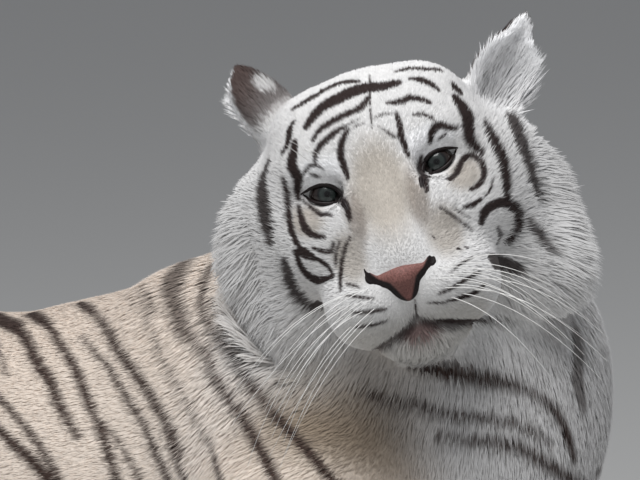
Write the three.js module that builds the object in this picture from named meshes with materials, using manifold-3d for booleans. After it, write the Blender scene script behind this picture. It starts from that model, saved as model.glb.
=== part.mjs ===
// White tiger, life size, lying on its chest with the head raised and turned to its right.
// Millimetres: +X toward the chest, +Y the animal's left, +Z up; the floor is Z = 0.
import * as THREE from "three";
import { mergeVertices } from "three/addons/utils/BufferGeometryUtils.js";
import Module from "manifold-3d";

const wasm = await Module();
wasm.setup();

// ---------- driving sizes ----------
const CUT_GAP = 0.3; // air between two pieces that touch
const HEAD_CELL = 20; // grids that the head and the paws are faceted on
const PAW_CELL = 21;
const EYE_HEIGHT = 670;
const EYE_FORWARD = 215; // of the withers
const EYE_TO_RIGHT = 145; // of the spine
const HEAD_TURN = 61.7; // degrees to the animal's right
const HEAD_NOD = -8; // degrees, nose up
const HEAD_ROLL = 17; // degrees, right ear down
const EYE_SPREAD = 57; // eye to midline
const EYE_RADIUS = 19;
const SIDES = { right: -1, left: 1 };

const COLOURS = {
  coat: { color: 0xe9e4da, roughness: 0.9, metalness: 0 },
  nose: { color: 0x9c6a60, roughness: 0.55, metalness: 0 },
  eye: { color: 0x8fa3a3, roughness: 0.15, metalness: 0 },
};

// ---------- distance fields ----------
const mix = (a, b, t) => a + (b - a) * t;
const clamp01 = (t) => Math.min(1, Math.max(0, t));

// An ellipsoid at a centre, with its three half sizes.
function ball([cx, cy, cz], [rx, ry, rz]) {
  return (x, y, z) => {
    const [a, b, c] = [(x - cx) / rx, (y - cy) / ry, (z - cz) / rz];
    const near = Math.hypot(a, b, c);
    const slope = Math.hypot(a / rx, b / ry, c / rz);
    return slope < 1e-9 ? -Math.min(rx, ry, rz) : (near * (near - 1)) / slope;
  };
}

// A round-ended limb from a to b, its radius going from ra to rb.
function limb(a, b, ra, rb) {
  const [dx, dy, dz] = [b[0] - a[0], b[1] - a[1], b[2] - a[2]];
  const long2 = dx * dx + dy * dy + dz * dz;
  return (x, y, z) => {
    const [px, py, pz] = [x - a[0], y - a[1], z - a[2]];
    const t = clamp01((px * dx + py * dy + pz * dz) / long2);
    return Math.hypot(px - t * dx, py - t * dy, pz - t * dz) - mix(ra, rb, t);
  };
}

// Shapes joined with a soft fillet.
function blend(fillet, shapes) {
  return (x, y, z) =>
    shapes.reduce((sum, shape) => {
      const d = shape(x, y, z);
      const soft = Math.max(fillet - Math.abs(sum - d), 0) / fillet;
      return Math.min(sum, d) - (soft * soft * fillet) / 4;
    }, 1e4);
}

// A shape with a soft hollow pressed into it.
const hollow = (fillet, shape, tools) => (x, y, z) => -blend(fillet, [
  (a, b, c) => -shape(a, b, c),
  ...tools,
])(x, y, z);

const bothSides = (make) => Object.values(SIDES).flatMap((side) => make(side));

// ---------- the head's own frame: forward, left, up from the point between the eyes ----------
const between = new THREE.Vector3(EYE_FORWARD, -EYE_TO_RIGHT, EYE_HEIGHT);
const headTurn = new THREE.Matrix4()
  .makeRotationZ(THREE.MathUtils.degToRad(-HEAD_TURN))
  .multiply(new THREE.Matrix4().makeRotationY(THREE.MathUtils.degToRad(HEAD_NOD)))
  .multiply(new THREE.Matrix4().makeRotationX(THREE.MathUtils.degToRad(HEAD_ROLL)));
const headPlace = new THREE.Matrix4().makeTranslation(between).multiply(headTurn);
const headInverse = headPlace.clone().invert();

const cranium = ball([-78, 0, 22], [122, 112, 96]);
const brows = bothSides((s) => [ball([-14, s * 52, 26], [38, 40, 24])]);
const bridge = [limb([-8, 0, 8], [92, 0, -70], 46, 31), ball([88, 0, -84], [38, 36, 26])];
const cheeks = bothSides((s) => [
  ball([-52, s * 82, -38], [80, 56, 78]),
  ball([14, s * 58, -62], [52, 40, 44]),
]);
const muzzle = bothSides((s) => [
  ball([72, s * 36, -118], [52, 42, 35]),
  ball([34, s * 50, -122], [50, 38, 40]),
]);
const jaw = [
  ball([58, 0, -166], [40, 40, 30]),
  limb([-70, 0, -120], [30, 0, -150], 72, 46),
];
const ruffRight = [
  ball([-92, -112, -38], [66, 74, 92]),
  ball([-72, -112, -96], [52, 56, 62]),
];
const ruffLeft = [
  ball([-92, 110, -66], [64, 74, 104]),
  ball([-78, 120, -116], [50, 58, 60]),
];
// The sockets that the eyes lie in.
const eyeHollows = bothSides((s) => [ball([38, s * 66, 2], [34, 26, 17])]);
const skull = blend(26, [
  cranium,
  ...cheeks,
  ...brows,
  ...ruffRight,
  ...ruffLeft,
  ...bridge,
  ...muzzle,
  ...jaw,
]);
const headShape = hollow(10, skull, eyeHollows);
const point = new THREE.Vector3();
function head(x, y, z) {
  point.set(x, y, z).applyMatrix4(headInverse);
  return headShape(point.x, point.y, point.z);
}

// ---------- neck and trunk ----------
const neck = [
  limb([-16, 0, 380], [98, 12, 508], 140, 128),
  limb([98, 12, 508], [138, 26, 606], 128, 112),
];
const trunk = [
  ball([190, 58, 420], [156, 184, 200]),
  ball([120, 0, 285], [185, 195, 240]),
  ball([-130, 0, 248], [300, 195, 254]),
  ball([-400, 0, 228], [320, 192, 240]),
  ball([-690, 0, 240], [270, 168, 216]),
  ball([-850, 0, 235], [140, 140, 182]),
];
const shoulderBlades = bothSides((s) => [limb([-45, s * 62, 492], [110, s * 125, 320], 52, 100)]);

// ---------- legs ----------
const SHOULDER = [150, 162, 305];
const ELBOW = [0, 200, 80];
const WRIST = [300, 176, 50];
const HIP = [-760, 110, 290];
const KNEE = [-550, 218, 190];
const HOCK = [-800, 236, 42];
const HIND_TOES = [-560, 268, 36];
const mirrored = ([x, y, z], side) => [x, side * y, z];

// The flesh of one leg's segments, by name.
const foreLeg = (s) => ({
  upper_arm_: limb(mirrored(SHOULDER, s), mirrored(ELBOW, s), 116, 86),
  forearm_: limb(mirrored(ELBOW, s), mirrored(WRIST, s), 80, 54),
});
const hindLeg = (s) => ({
  thigh_: blend(44, [
    ball([-690, s * 128, 225], [200, 112, 205]),
    limb(mirrored(HIP, s), mirrored(KNEE, s), 110, 84),
  ]),
  shank_: limb(mirrored(KNEE, s), mirrored(HOCK, s), 80, 46),
  hind_foot_: limb(mirrored(HOCK, s), mirrored(HIND_TOES, s), 44, 42),
});

// A paw at the end of a leg: a palm and four toes in a shallow arc.
function paw([x, y, z], side, size) {
  const toes = [-1.5, -0.5, 0.5, 1.5].map((place) => {
    const back = place * place * 7 * size;
    const across = side * y + place * 29 * size;
    return limb(
      [x + 58 * size - back, across, 32 * size],
      [x + 96 * size - back, across + place * 2, 22 * size],
      25 * size,
      23 * size,
    );
  });
  return [ball([x + 34 * size, side * y, z - 8], [74 * size, 60 * size, 46 * size]), ...toes];
}
const paws = bothSides((s) => [
  ...paw([WRIST[0] + 40, WRIST[1] - 4, WRIST[2]], s, 1),
  ...paw([HIND_TOES[0] + 5, HIND_TOES[1], HIND_TOES[2] + 12], s, 0.88),
]);

const barrel = blend(80, [...trunk, ...shoulderBlades]);
const torso = blend(80, [...trunk, ...shoulderBlades, ...neck]);
const legs = blend(36, bothSides((s) => [...Object.values(foreLeg(s)), ...Object.values(hindLeg(s))]));
const feet = blend(12, paws);
const limbs = blend(18, [legs, feet]);
const trunkAndHead = blend(30, [torso, head]);
const animal = blend(30, [blend(44, [torso, limbs]), head]);

// ---------- facets ----------
// Steps of a cell's corners, and the corners that share an edge.
const CORNERS = [0, 1, 2, 3, 4, 5, 6, 7].map((i) => [i & 1, (i >> 1) & 1, (i >> 2) & 1]);
const EDGES = [];
CORNERS.forEach((_, a) => [1, 2, 4].forEach((bit) => (a & bit ? 0 : EDGES.push([a, a | bit]))));

// Whether the chosen corners of a cell hang together along its edges.
function inOnePiece(chosen) {
  const first = chosen.indexOf(true);
  if (first < 0) return true;
  const reached = new Set([first]);
  for (let round = 0; round < 4; round++)
    for (const [a, b] of EDGES)
      if (chosen[a] && chosen[b] && (reached.has(a) || reached.has(b))) reached.add(a).add(b);
  return reached.size === chosen.filter(Boolean).length;
}

// The zero surface of a field inside a box, as one closed faceted geometry.
function facet(field, [low, high], cell) {
  const n = low.map((at, i) => Math.ceil((high[i] - at) / cell) + 1);
  const index = (i, j, k) => i + n[0] * (j + n[1] * k);
  const values = new Float64Array(n[0] * n[1] * n[2]);
  const outside = (i, j, k) =>
    [i, j, k].some((at, axis) => at === 0 || at === n[axis] - 1) ? 1 : -Infinity;
  const everyCell = (visit) => {
    for (let k = 0; k < n[2] - 1; k++)
      for (let j = 0; j < n[1] - 1; j++) for (let i = 0; i < n[0] - 1; i++) visit(i, j, k);
  };
  for (let k = 0; k < n[2]; k++)
    for (let j = 0; j < n[1]; j++)
      for (let i = 0; i < n[0]; i++) {
        const d = field(low[0] + i * cell, low[1] + j * cell, low[2] + k * cell);
        values[index(i, j, k)] = Math.max(d, outside(i, j, k));
      }
  // A cell whose inside or outside falls apart would give a pinched surface, so it is filled.
  const cornersOf = (i, j, k) => CORNERS.map(([a, b, c]) => index(i + a, j + b, k + c));
  for (let pinched = true; pinched; ) {
    pinched = false;
    everyCell((i, j, k) => {
      const at = cornersOf(i, j, k);
      const inside = at.map((c) => values[c] < 0);
      if (inOnePiece(inside) && inOnePiece(inside.map((is) => !is))) return;
      at.forEach((c, m) => (inside[m] ? 0 : (values[c] = -0.05 * cell)));
      pinched = true;
    });
  }
  const vertices = [];
  const vertexOf = new Map();
  everyCell((i, j, k) => {
    const at = cornersOf(i, j, k);
    const sum = [0, 0, 0];
    let crossings = 0;
    for (const [a, b] of EDGES) {
      const [va, vb] = [values[at[a]], values[at[b]]];
      if (va < 0 === vb < 0) continue;
      const t = va / (va - vb);
      sum.forEach((_, axis) => (sum[axis] += mix(CORNERS[a][axis], CORNERS[b][axis], t)));
      crossings++;
    }
    if (!crossings) return;
    vertexOf.set(index(i, j, k), vertices.length / 3);
    [i, j, k].forEach((at, axis) => vertices.push(low[axis] + (at + sum[axis] / crossings) * cell));
  });
  const faces = [];
  const span = (a, b) =>
    Math.hypot(...[0, 1, 2].map((axis) => vertices[3 * a + axis] - vertices[3 * b + axis]));
  const step = [1, n[0], n[0] * n[1]];
  everyCell((i, j, k) => {
    const here = index(i, j, k);
    [0, 1, 2].forEach((axis) => {
      const [u, v] = [(axis + 1) % 3, (axis + 2) % 3];
      if ([i, j, k][u] === 0 || [i, j, k][v] === 0) return;
      const inside = values[here] < 0;
      if (inside === values[here + step[axis]] < 0) return;
      const ring = [here, here - step[u], here - step[u] - step[v], here - step[v]];
      const corners = ring.map((at) => vertexOf.get(at));
      if (span(corners[1], corners[3]) < span(corners[0], corners[2])) corners.push(corners.shift());
      const [a, b, c, d] = inside ? corners : [corners[0], corners[3], corners[2], corners[1]];
      faces.push(a, b, c, a, c, d);
    });
  });
  return new THREE.BufferGeometry()
    .setAttribute("position", new THREE.Float32BufferAttribute(vertices, 3))
    .setIndex(faces);
}

// ---------- solids ----------
function solid(geometry) {
  const bare = geometry.clone();
  bare.deleteAttribute("normal");
  bare.deleteAttribute("uv");
  const merged = mergeVertices(bare, 1e-3);
  return new wasm.Manifold(
    new wasm.Mesh({
      numProp: 3,
      vertProperties: new Float32Array(merged.attributes.position.array),
      triVerts: new Uint32Array(merged.index.array),
    }),
  );
}

const largest = (made) => made.decompose().sort((a, b) => b.volume() - a.volume())[0];

// A box from its low and high corners, in the frame of a matrix.
function block(low, high, place = new THREE.Matrix4()) {
  const size = high.map((at, i) => at - low[i]);
  const box = new THREE.BoxGeometry(...size);
  box.translate(...low.map((at, i) => at + size[i] / 2));
  return solid(box.applyMatrix4(place));
}

// A closed solid through rings of points, each ring the same way round.
function skin(rings) {
  const sides = rings[0].length;
  const faces = [];
  for (let r = 0; r + 1 < rings.length; r++)
    for (let s = 0; s < sides; s++) {
      const [a, b] = [r * sides + s, r * sides + ((s + 1) % sides)];
      faces.push(a, b, b + sides, a, b + sides, a + sides);
    }
  const last = (rings.length - 1) * sides;
  for (let s = 1; s + 1 < sides; s++) faces.push(0, s + 1, s, last, last + s, last + s + 1);
  const points = rings.flat().flatMap((at) => at.toArray());
  const geometry = new THREE.BufferGeometry()
    .setAttribute("position", new THREE.Float32BufferAttribute(points, 3))
    .setIndex(faces);
  return solid(geometry);
}

// One ring round a point of an axis; reach gives the radius in each direction.
function ring(at, along, sides, reach) {
  const across = new THREE.Vector3(0, 0, 1).cross(along).normalize();
  const over = along.clone().cross(across).normalize();
  return Array.from({ length: sides }, (_, s) => {
    const angle = (2 * Math.PI * (s + 0.5)) / sides;
    const out = across.clone().multiplyScalar(Math.cos(angle)).addScaledVector(over, Math.sin(angle));
    return at.clone().addScaledVector(out, reach(out));
  });
}

// How far the flesh goes from a point in one direction: no farther than a limit, or the floor.
function depth(field, at, out, limit) {
  const toFloor = out.z < 0 ? -at.z / out.z : limit;
  const most = Math.min(limit, toFloor);
  const inside = (r) => field(...at.clone().addScaledVector(out, r).toArray()) < 0;
  let near = 0;
  const stride = 12;
  while (near + stride < most && inside(near + stride)) near += stride;
  let far = Math.min(near + stride, most);
  if (inside(far)) return far;
  for (let i = 0; i < 12; i++) {
    const middle = (near + far) / 2;
    if (inside(middle)) near = middle;
    else far = middle;
  }
  return Math.max(near, 3);
}

// The flesh round a bone between two points, ring by ring, rounded off at the ends asked for.
const EASE = {
  flat: (u) => u,
  start: (u) => 1 - Math.cos((Math.PI / 2) * u),
  end: (u) => Math.sin((Math.PI / 2) * u),
  both: (u) => (1 - Math.cos(Math.PI * u)) / 2,
};
function wrap(field, from, to, { rings, sides, limit, round = "flat" }) {
  const [start, end] = [new THREE.Vector3(...from), new THREE.Vector3(...to)];
  const along = end.clone().sub(start).normalize();
  const flesh = Array.from({ length: rings }, (_, i) => {
    const share = EASE[round](i / (rings - 1));
    const at = start.clone().lerp(end, share);
    return { at, share, points: ring(at, along, sides, (out) => depth(field, at, out, limit)) };
  });
  return grown((gap) =>
    skin(
      flesh.map(({ at, share, points }) =>
        points.map((on) => {
          const out = on.clone().sub(at).setLength(gap);
          return on.clone().add(out).addScaledVector(along, (2 * share - 1) * gap);
        }),
      ),
    ),
  );
}

const floor = block([-2000, -1000, -400], [1000, 1000, 0]);
const tiger = new THREE.Group();
function add(name, made, look) {
  const mesh = largest(made).getMesh();
  const geometry = new THREE.BufferGeometry()
    .setAttribute("position", new THREE.Float32BufferAttribute(mesh.vertProperties, 3))
    .setIndex(new THREE.BufferAttribute(mesh.triVerts, 1));
  const node = new THREE.Mesh(geometry, new THREE.MeshStandardMaterial(look));
  node.name = name;
  tiger.add(node);
}

// The same solid twice: to size, and wider by the gap that keeps two parts apart.
function grown(make) {
  return [make(0), make(CUT_GAP)];
}
const boxTool = (low, high, place) =>
  grown((gap) => block(low.map((at) => at - gap), high.map((at) => at + gap), place));

// Each part gives way to the parts before it.
const taken = [];
function fit(name, [made, wide], look = COLOURS.coat) {
  add(name, taken.reduce((left, other) => left.subtract(other), made), look);
  taken.push(wide);
}

// ---------- tail line: down from the rump, then round on the floor to the right ----------
const TAIL_ROOT_RADIUS = 52;
const TAIL_TIP_RADIUS = 27;
const TAIL_LENGTHS = 4;
const RINGS_EACH = 5;
const tailLine = new THREE.CatmullRomCurve3(
  [
    [-900, 0, 270],
    [-1010, 4, 178],
    [-1100, 8, 88],
    [-1190, -26, 46],
    [-1248, -120, 36],
    [-1224, -238, 34],
    [-1130, -330, 32],
    [-1010, -392, 29],
    [-900, -420, 26],
  ].map((at) => new THREE.Vector3(...at)),
);
const TAIL_SIDES = 10;
const tailRadius = (t) =>
  mix(TAIL_ROOT_RADIUS, TAIL_TIP_RADIUS, t ** 0.7) * Math.min(1, 0.4 + (1 - t) * 14);
const gapShare = CUT_GAP / tailLine.getLength();
function tailLength(start, end) {
  return grown((gap) =>
    skin(
      Array.from({ length: RINGS_EACH + 1 }, (_, i) => {
        const t = mix(start, end, i / RINGS_EACH);
        const radius = tailRadius(t) + gap;
        return ring(tailLine.getPointAt(t), tailLine.getTangentAt(t), TAIL_SIDES, () => radius);
      }),
    ).subtract(floor),
  );
}

// ---------- head ----------
const HEAD_REACH = 340;
const neckCut = headPlace
  .clone()
  .multiply(new THREE.Matrix4().makeTranslation(-118, 0, -60))
  .multiply(new THREE.Matrix4().makeRotationY(THREE.MathUtils.degToRad(-32)));
const throatCut = headPlace
  .clone()
  .multiply(new THREE.Matrix4().makeTranslation(60, 0, -204))
  .multiply(new THREE.Matrix4().makeRotationY(THREE.MathUtils.degToRad(6)));
const headTool = grown((gap) =>
  block([-gap, -270, -320], [450, 270, 320], neckCut).intersect(
    block([-400, -300, -gap], [400, 300, 400], throatCut),
  ),
);
const headBox = between.toArray().map((at) => [at - HEAD_REACH, at + HEAD_REACH]);
const headFacets = facet(animal, [0, 1].map((end) => headBox.map((range) => range[end])), HEAD_CELL);
let headLeft = largest(solid(headFacets).intersect(headTool[0]));
taken.push(headTool[1]);

// An ellipsoid as a solid, in the head's frame.
function bead(at, radii) {
  const shape = new THREE.SphereGeometry(1, 12, 7).scale(...radii);
  return solid(shape.translate(...at).applyMatrix4(headPlace));
}

// An ear is a cup: an ellipsoid with a smaller one taken out of its open side.
const EAR_HALF = [26, 46, 58];
const EAR_WALL = 9;
const EARS = {
  right: { at: [-98, -96, 96], turn: [24, 0, -118] },
  left: { at: [-96, 146, 62], turn: [-42, 0, 22] },
};
for (const [side, { at, turn }] of Object.entries(EARS)) {
  const angles = turn.map(THREE.MathUtils.degToRad);
  const place = headPlace
    .clone()
    .multiply(new THREE.Matrix4().makeTranslation(...at))
    .multiply(new THREE.Matrix4().makeRotationFromEuler(new THREE.Euler(...angles)));
  const cup = (grow) =>
    solid(new THREE.SphereGeometry(1, 12, 7).scale(...EAR_HALF.map((r) => r + grow)).applyMatrix4(place));
  const inside = solid(
    new THREE.SphereGeometry(1, 12, 7)
      .scale(...EAR_HALF.map((r) => r - EAR_WALL))
      .translate(EAR_WALL + 6, 0, 4)
      .applyMatrix4(place),
  );
  add("ear_" + side, cup(0).subtract(inside), COLOURS.coat);
  headLeft = headLeft.subtract(cup(CUT_GAP));
}

for (const [side, s] of Object.entries(SIDES)) {
  const at = [2, s * EYE_SPREAD, 0];
  add("eye_" + side, bead(at, [EYE_RADIUS, EYE_RADIUS, EYE_RADIUS]), COLOURS.eye);
  headLeft = headLeft.subtract(bead(at, Array(3).fill(EYE_RADIUS + CUT_GAP)));
}

const NOSE_AT = [112, 0, -104];
const NOSE_HALF = [20, 28, 20];
add("nose", bead(NOSE_AT, NOSE_HALF), COLOURS.nose);
headLeft = headLeft.subtract(bead(NOSE_AT, NOSE_HALF.map((r) => r + CUT_GAP)));

const chinTool = boxTool([12, -80, -260], [200, 80, -148], headPlace);
add("chin", headLeft.intersect(chinTool[0]), COLOURS.coat);
headLeft = headLeft.subtract(chinTool[1]);
add("head", headLeft, COLOURS.coat);

// ---------- trunk ----------
const RUMP_END = -984;
const LOIN = -500;
const WAIST = -170;
const CHEST_END = 334;
const TRUNK_AXIS = 240;
const across = { rings: 5, sides: 20, limit: 330 };
fit("belly", wrap(barrel, [LOIN + CUT_GAP, 0, TRUNK_AXIS], [WAIST - CUT_GAP, 0, TRUNK_AXIS], across));
fit("rump", wrap(barrel, [RUMP_END, 0, 225], [LOIN, 0, TRUNK_AXIS], { ...across, rings: 8, round: "start" }));
const NECK_BASE = [15, 0, 395];
const NECK_TOP = [178, -8, 725];
fit("neck", wrap(trunkAndHead, NECK_BASE, NECK_TOP, { rings: 8, sides: 20, limit: 380 }));
const lean = Math.atan2(NECK_TOP[0] - NECK_BASE[0], NECK_TOP[2] - NECK_BASE[2]);
const neckBase = new THREE.Matrix4()
  .makeTranslation(...NECK_BASE)
  .multiply(new THREE.Matrix4().makeRotationY(lean));
const aboveNeckBase = grown((gap) => block([-500, -500, gap - 2 * CUT_GAP], [500, 500, 500], neckBase));
const chest = wrap(barrel, [WAIST, 0, TRUNK_AXIS], [CHEST_END, 10, 300], {
  ...across,
  rings: 9,
  round: "end",
});
fit("chest", chest.map((made, i) => made.subtract(aboveNeckBase[i])));

// ---------- tail ----------
for (let i = 0; i < TAIL_LENGTHS; i++) {
  const start = i / TAIL_LENGTHS + gapShare;
  fit("tail_" + (i + 1), tailLength(start, (i + 1) / TAIL_LENGTHS));
}

// ---------- legs ----------
for (const [side, s] of Object.entries(SIDES)) {
  const fields = { ...foreLeg(s), ...hindLeg(s) };
  const bone = (name, from, to, form) =>
    fit(name + side, wrap(fields[name], mirrored(from, s), mirrored(to, s), { sides: 12, limit: 260, ...form }));
  const pawIn = (name, low, high) => {
    const [near, far] = [mirrored(low, s), mirrored(high, s)];
    const box = [near.map((at, i) => Math.min(at, far[i])), near.map((at, i) => Math.max(at, far[i]))];
    const made = solid(facet(limbs, box, PAW_CELL)).subtract(floor);
    fit(name + side, [made, made]);
  };
  bone("upper_arm_", [218, 144, 396], [-66, 216, 44], { rings: 8, round: "both" });
  bone("forearm_", [-60, 206, 76], WRIST, { rings: 6, round: "start" });
  pawIn("fore_paw_", [270, 80, -40], [530, 290, 150]);
  bone("thigh_", [-888, 134, 205], [-468, 196, 196], { rings: 9, round: "both" });
  bone("shank_", [-482, 214, 220], [-842, 239, 24], { rings: 7, round: "both" });
  bone("hind_foot_", [-842, 233, 44], HIND_TOES, { rings: 5, round: "start" });
  pawIn("hind_paw_", [-620, 180, -40], [-400, 350, 120]);
}

// The origin stands at the middle of the underside.
const bounds = new THREE.Box3().setFromObject(tiger);
const middle = bounds.getCenter(new THREE.Vector3());
tiger.position.set(-middle.x, -middle.y, -bounds.min.z);

export default tiger;
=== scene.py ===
"""White tiger: one skin, its coat of tufts, eyes, lids, nose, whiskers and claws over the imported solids.

Places are in the solids' own millimetres (x = 0 at the withers, +X to the chest, +Y the animal's left,
+Z up from the floor) and become metres in the row's frame when a mesh is made.
"""
import math

import bpy
import numpy as np
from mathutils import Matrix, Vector
from mathutils.bvhtree import BVHTree


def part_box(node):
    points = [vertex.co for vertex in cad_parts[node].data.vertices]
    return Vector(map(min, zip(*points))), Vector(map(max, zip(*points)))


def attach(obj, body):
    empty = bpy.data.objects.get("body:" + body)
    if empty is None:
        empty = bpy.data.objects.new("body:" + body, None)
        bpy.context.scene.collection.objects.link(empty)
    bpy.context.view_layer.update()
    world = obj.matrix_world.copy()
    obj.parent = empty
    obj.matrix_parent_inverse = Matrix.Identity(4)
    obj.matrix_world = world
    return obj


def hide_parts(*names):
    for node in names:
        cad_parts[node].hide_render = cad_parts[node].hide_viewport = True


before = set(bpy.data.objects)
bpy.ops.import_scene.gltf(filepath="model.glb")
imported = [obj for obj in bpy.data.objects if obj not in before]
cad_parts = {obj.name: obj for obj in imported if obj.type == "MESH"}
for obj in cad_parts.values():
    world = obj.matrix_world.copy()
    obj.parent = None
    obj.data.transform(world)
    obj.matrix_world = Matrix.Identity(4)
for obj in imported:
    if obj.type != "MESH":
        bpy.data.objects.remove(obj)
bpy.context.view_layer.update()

MM = 0.001
SIDES = {"right": -1, "left": 1}


# ---------- frames ----------
def turn(axis, degrees):
    """A rotation about X, Y or Z."""
    c, s = math.cos(math.radians(degrees)), math.sin(math.radians(degrees))
    i = "XYZ".index(axis)
    j, k = (i + 1) % 3, (i + 2) % 3
    made = np.eye(3)
    made[j, j] = made[k, k] = c
    made[j, k], made[k, j] = -s, s
    return made


# The head's own frame starts between the eyes: forward, to the animal's left, up.
EYE_MIDDLE = np.array([215.0, -145.0, 670.0])
HEAD_AXES = turn("Z", -61.7) @ turn("Y", -8) @ turn("X", 17)
EYE_PLACE = np.array([2.0, 57.0, 0.0])
EYE_RADIUS = 19.0


def from_head(points):
    return EYE_MIDDLE + np.asarray(points, float) @ HEAD_AXES.T


def to_head(points):
    return (np.asarray(points, float) - EYE_MIDDLE) @ HEAD_AXES


def middle_of(node):
    low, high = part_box(node)
    return np.array((low + high) / 2) / MM


# The row's frame is the solids' own frame, moved so that the eyes meet the eye nodes.
ROW_SHIFT = (middle_of("eye_left") + middle_of("eye_right")) / 2 - from_head([EYE_PLACE[0], 0, 0])


def to_row(points):
    return (np.asarray(points) + ROW_SHIFT) * MM


# ---------- camera ----------
PHOTO_WIDTH, PHOTO_HEIGHT = 640, 480
CAMERA_AZIMUTH, CAMERA_ELEVATION = 32, 8  # degrees
CAMERA_AWAY = 5000.0
CAMERA_AIM = np.array([167.0, -185.0, 608.6])
VIEW_WIDTH = 640.0  # what the picture's width spans at the aim
SENSOR = 36.0


def camera_axes():
    """Right, up and back of the camera."""
    a, e = math.radians(CAMERA_AZIMUTH), math.radians(CAMERA_ELEVATION)
    back = np.array([math.sin(a) * math.cos(e), -math.cos(a) * math.cos(e), math.sin(e)])
    right = np.array([math.cos(a), math.sin(a), 0.0])
    return right, np.cross(back, right), back


CAMERA_RIGHT, CAMERA_UP, CAMERA_BACK = camera_axes()
CAMERA_AT = CAMERA_AIM + CAMERA_BACK * CAMERA_AWAY


def add_camera():
    data = bpy.data.cameras.new("camera")
    data.sensor_width = SENSOR
    data.lens = SENSOR * CAMERA_AWAY / VIEW_WIDTH
    data.clip_end = 100
    camera = bpy.data.objects.new("camera", data)
    bpy.context.scene.collection.objects.link(camera)
    camera.location = to_row(CAMERA_AT)
    camera.rotation_mode = "QUATERNION"
    camera.rotation_quaternion = Vector(-CAMERA_BACK).to_track_quat("-Z", "Y")
    bpy.context.scene.camera = camera


def aim_at(x, y):
    """The point of the aim's plane that a pixel of the photo's frame shows."""
    scale = VIEW_WIDTH / PHOTO_WIDTH
    across, over = (x - PHOTO_WIDTH / 2) * scale, (PHOTO_HEIGHT / 2 - y) * scale
    return CAMERA_AIM + CAMERA_RIGHT * across + CAMERA_UP * over


add_camera()


# ---------- small maths ----------
def unit(vectors):
    size = np.linalg.norm(vectors, axis=-1, keepdims=True)
    return vectors / np.maximum(size, 1e-9)


def ramp(low, high, value):
    """From 0 at low to 1 at high, smoothly."""
    t = np.clip((value - low) / (high - low), 0, 1)
    return t * t * (3 - 2 * t)


def mix(a, b, t):
    return a + (b - a) * t


def smooth_line(points, steps):
    """A centripetal Catmull-Rom curve through points, in equal steps of its length."""
    p = np.asarray(points, float)
    p = np.vstack([2 * p[0] - p[1], p, 2 * p[-1] - p[-2]])
    dense = []
    for a, b, c, d in zip(p, p[1:], p[2:], p[3:]):
        ab, bc, cd = (max(math.sqrt(np.linalg.norm(v)), 1e-4) for v in (b - a, c - b, d - c))
        start = ((b - a) / ab - (c - a) / (ab + bc) + (c - b) / bc) * bc
        end = ((c - b) / bc - (d - b) / (bc + cd) + (d - c) / cd) * bc
        t = np.linspace(0, 1, 24, endpoint=False)[:, None]
        h = 2 * t**3 - 3 * t**2
        dense.append((h + 1) * b + (t**3 - 2 * t**2 + t) * start - h * c + (t**3 - t**2) * end)
    dense = np.vstack([*dense, p[-2:-1]])
    gone = np.concatenate([[0], np.cumsum(np.linalg.norm(np.diff(dense, axis=0), axis=1))])
    at = np.linspace(0, gone[-1], steps)
    return np.stack([np.interp(at, gone, dense[:, i]) for i in range(dense.shape[1])], axis=1)


# ---------- shapes as distance fields ----------
class Shape:
    """A distance field, with the ball that holds its solid."""

    def __init__(self, at, centre, reach):
        self.at, self.centre, self.reach = at, np.asarray(centre, float), float(reach)

    def __call__(self, x, y, z):
        return self.at(x, y, z)

    def of(self, points):
        return self.at(points[:, 0], points[:, 1], points[:, 2])


def ball(centre, half):
    """An ellipsoid."""
    (cx, cy, cz), (rx, ry, rz) = centre, half

    def at(x, y, z):
        a, b, c = (x - cx) / rx, (y - cy) / ry, (z - cz) / rz
        near = np.sqrt(a * a + b * b + c * c)
        slope = np.sqrt((a / rx) ** 2 + (b / ry) ** 2 + (c / rz) ** 2)
        return near * (near - 1) / np.maximum(slope, 1e-9)

    return Shape(at, centre, max(half))


def limb(a, b, ra, rb):
    """A round-ended limb whose radius goes from ra to rb."""
    a, b = np.asarray(a, float), np.asarray(b, float)
    dx, dy, dz = b - a
    long2 = dx * dx + dy * dy + dz * dz

    def at(x, y, z):
        px, py, pz = x - a[0], y - a[1], z - a[2]
        t = np.clip((px * dx + py * dy + pz * dz) / long2, 0, 1)
        across = np.sqrt((px - t * dx) ** 2 + (py - t * dy) ** 2 + (pz - t * dz) ** 2)
        return across - (ra + (rb - ra) * t)

    return Shape(at, (a + b) / 2, math.sqrt(long2) / 2 + max(ra, rb))


def placed(shape, origin, axes):
    """A shape in a frame of its own."""

    def at(x, y, z):
        px, py, pz = x - origin[0], y - origin[1], z - origin[2]
        return shape(*(px * axes[0, i] + py * axes[1, i] + pz * axes[2, i] for i in range(3)))

    return Shape(at, origin + axes @ shape.centre, shape.reach)


def in_head_frame(shape):
    """A shape of the head's frame, in the animal's."""
    return placed(shape, EYE_MIDDLE, HEAD_AXES)


def soft_min(a, b, fillet):
    """The nearer of two distances, rounded off where they are alike."""
    soft = np.maximum(fillet - np.abs(a - b), 0) / fillet
    return np.minimum(a, b) - soft * soft * (fillet / 4)


def joined(shapes, fillet):
    """Several shapes as one, with a soft fillet."""

    def at(x, y, z):
        total = shapes[0](x, y, z)
        for shape in shapes[1:]:
            total = soft_min(total, shape(x, y, z), fillet)
        return total

    low = np.min([s.centre - s.reach for s in shapes], axis=0)
    high = np.max([s.centre + s.reach for s in shapes], axis=0)
    return Shape(at, (low + high) / 2, np.linalg.norm(high - low) / 2)


def both_sides(make):
    return [shape for side in SIDES.values() for shape in make(side)]


# ---------- the animal's shapes, as in the solids ----------
MUZZLE_LEAN = -2.5  # sideways at the nose
NOSE_FORWARD = 112.0


def lean(place):
    """A place of the head, moved aside as the muzzle is."""
    x, left, up = place
    return np.array([x, left + MUZZLE_LEAN * min(max(x / NOSE_FORWARD, 0), 1), up])


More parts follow.
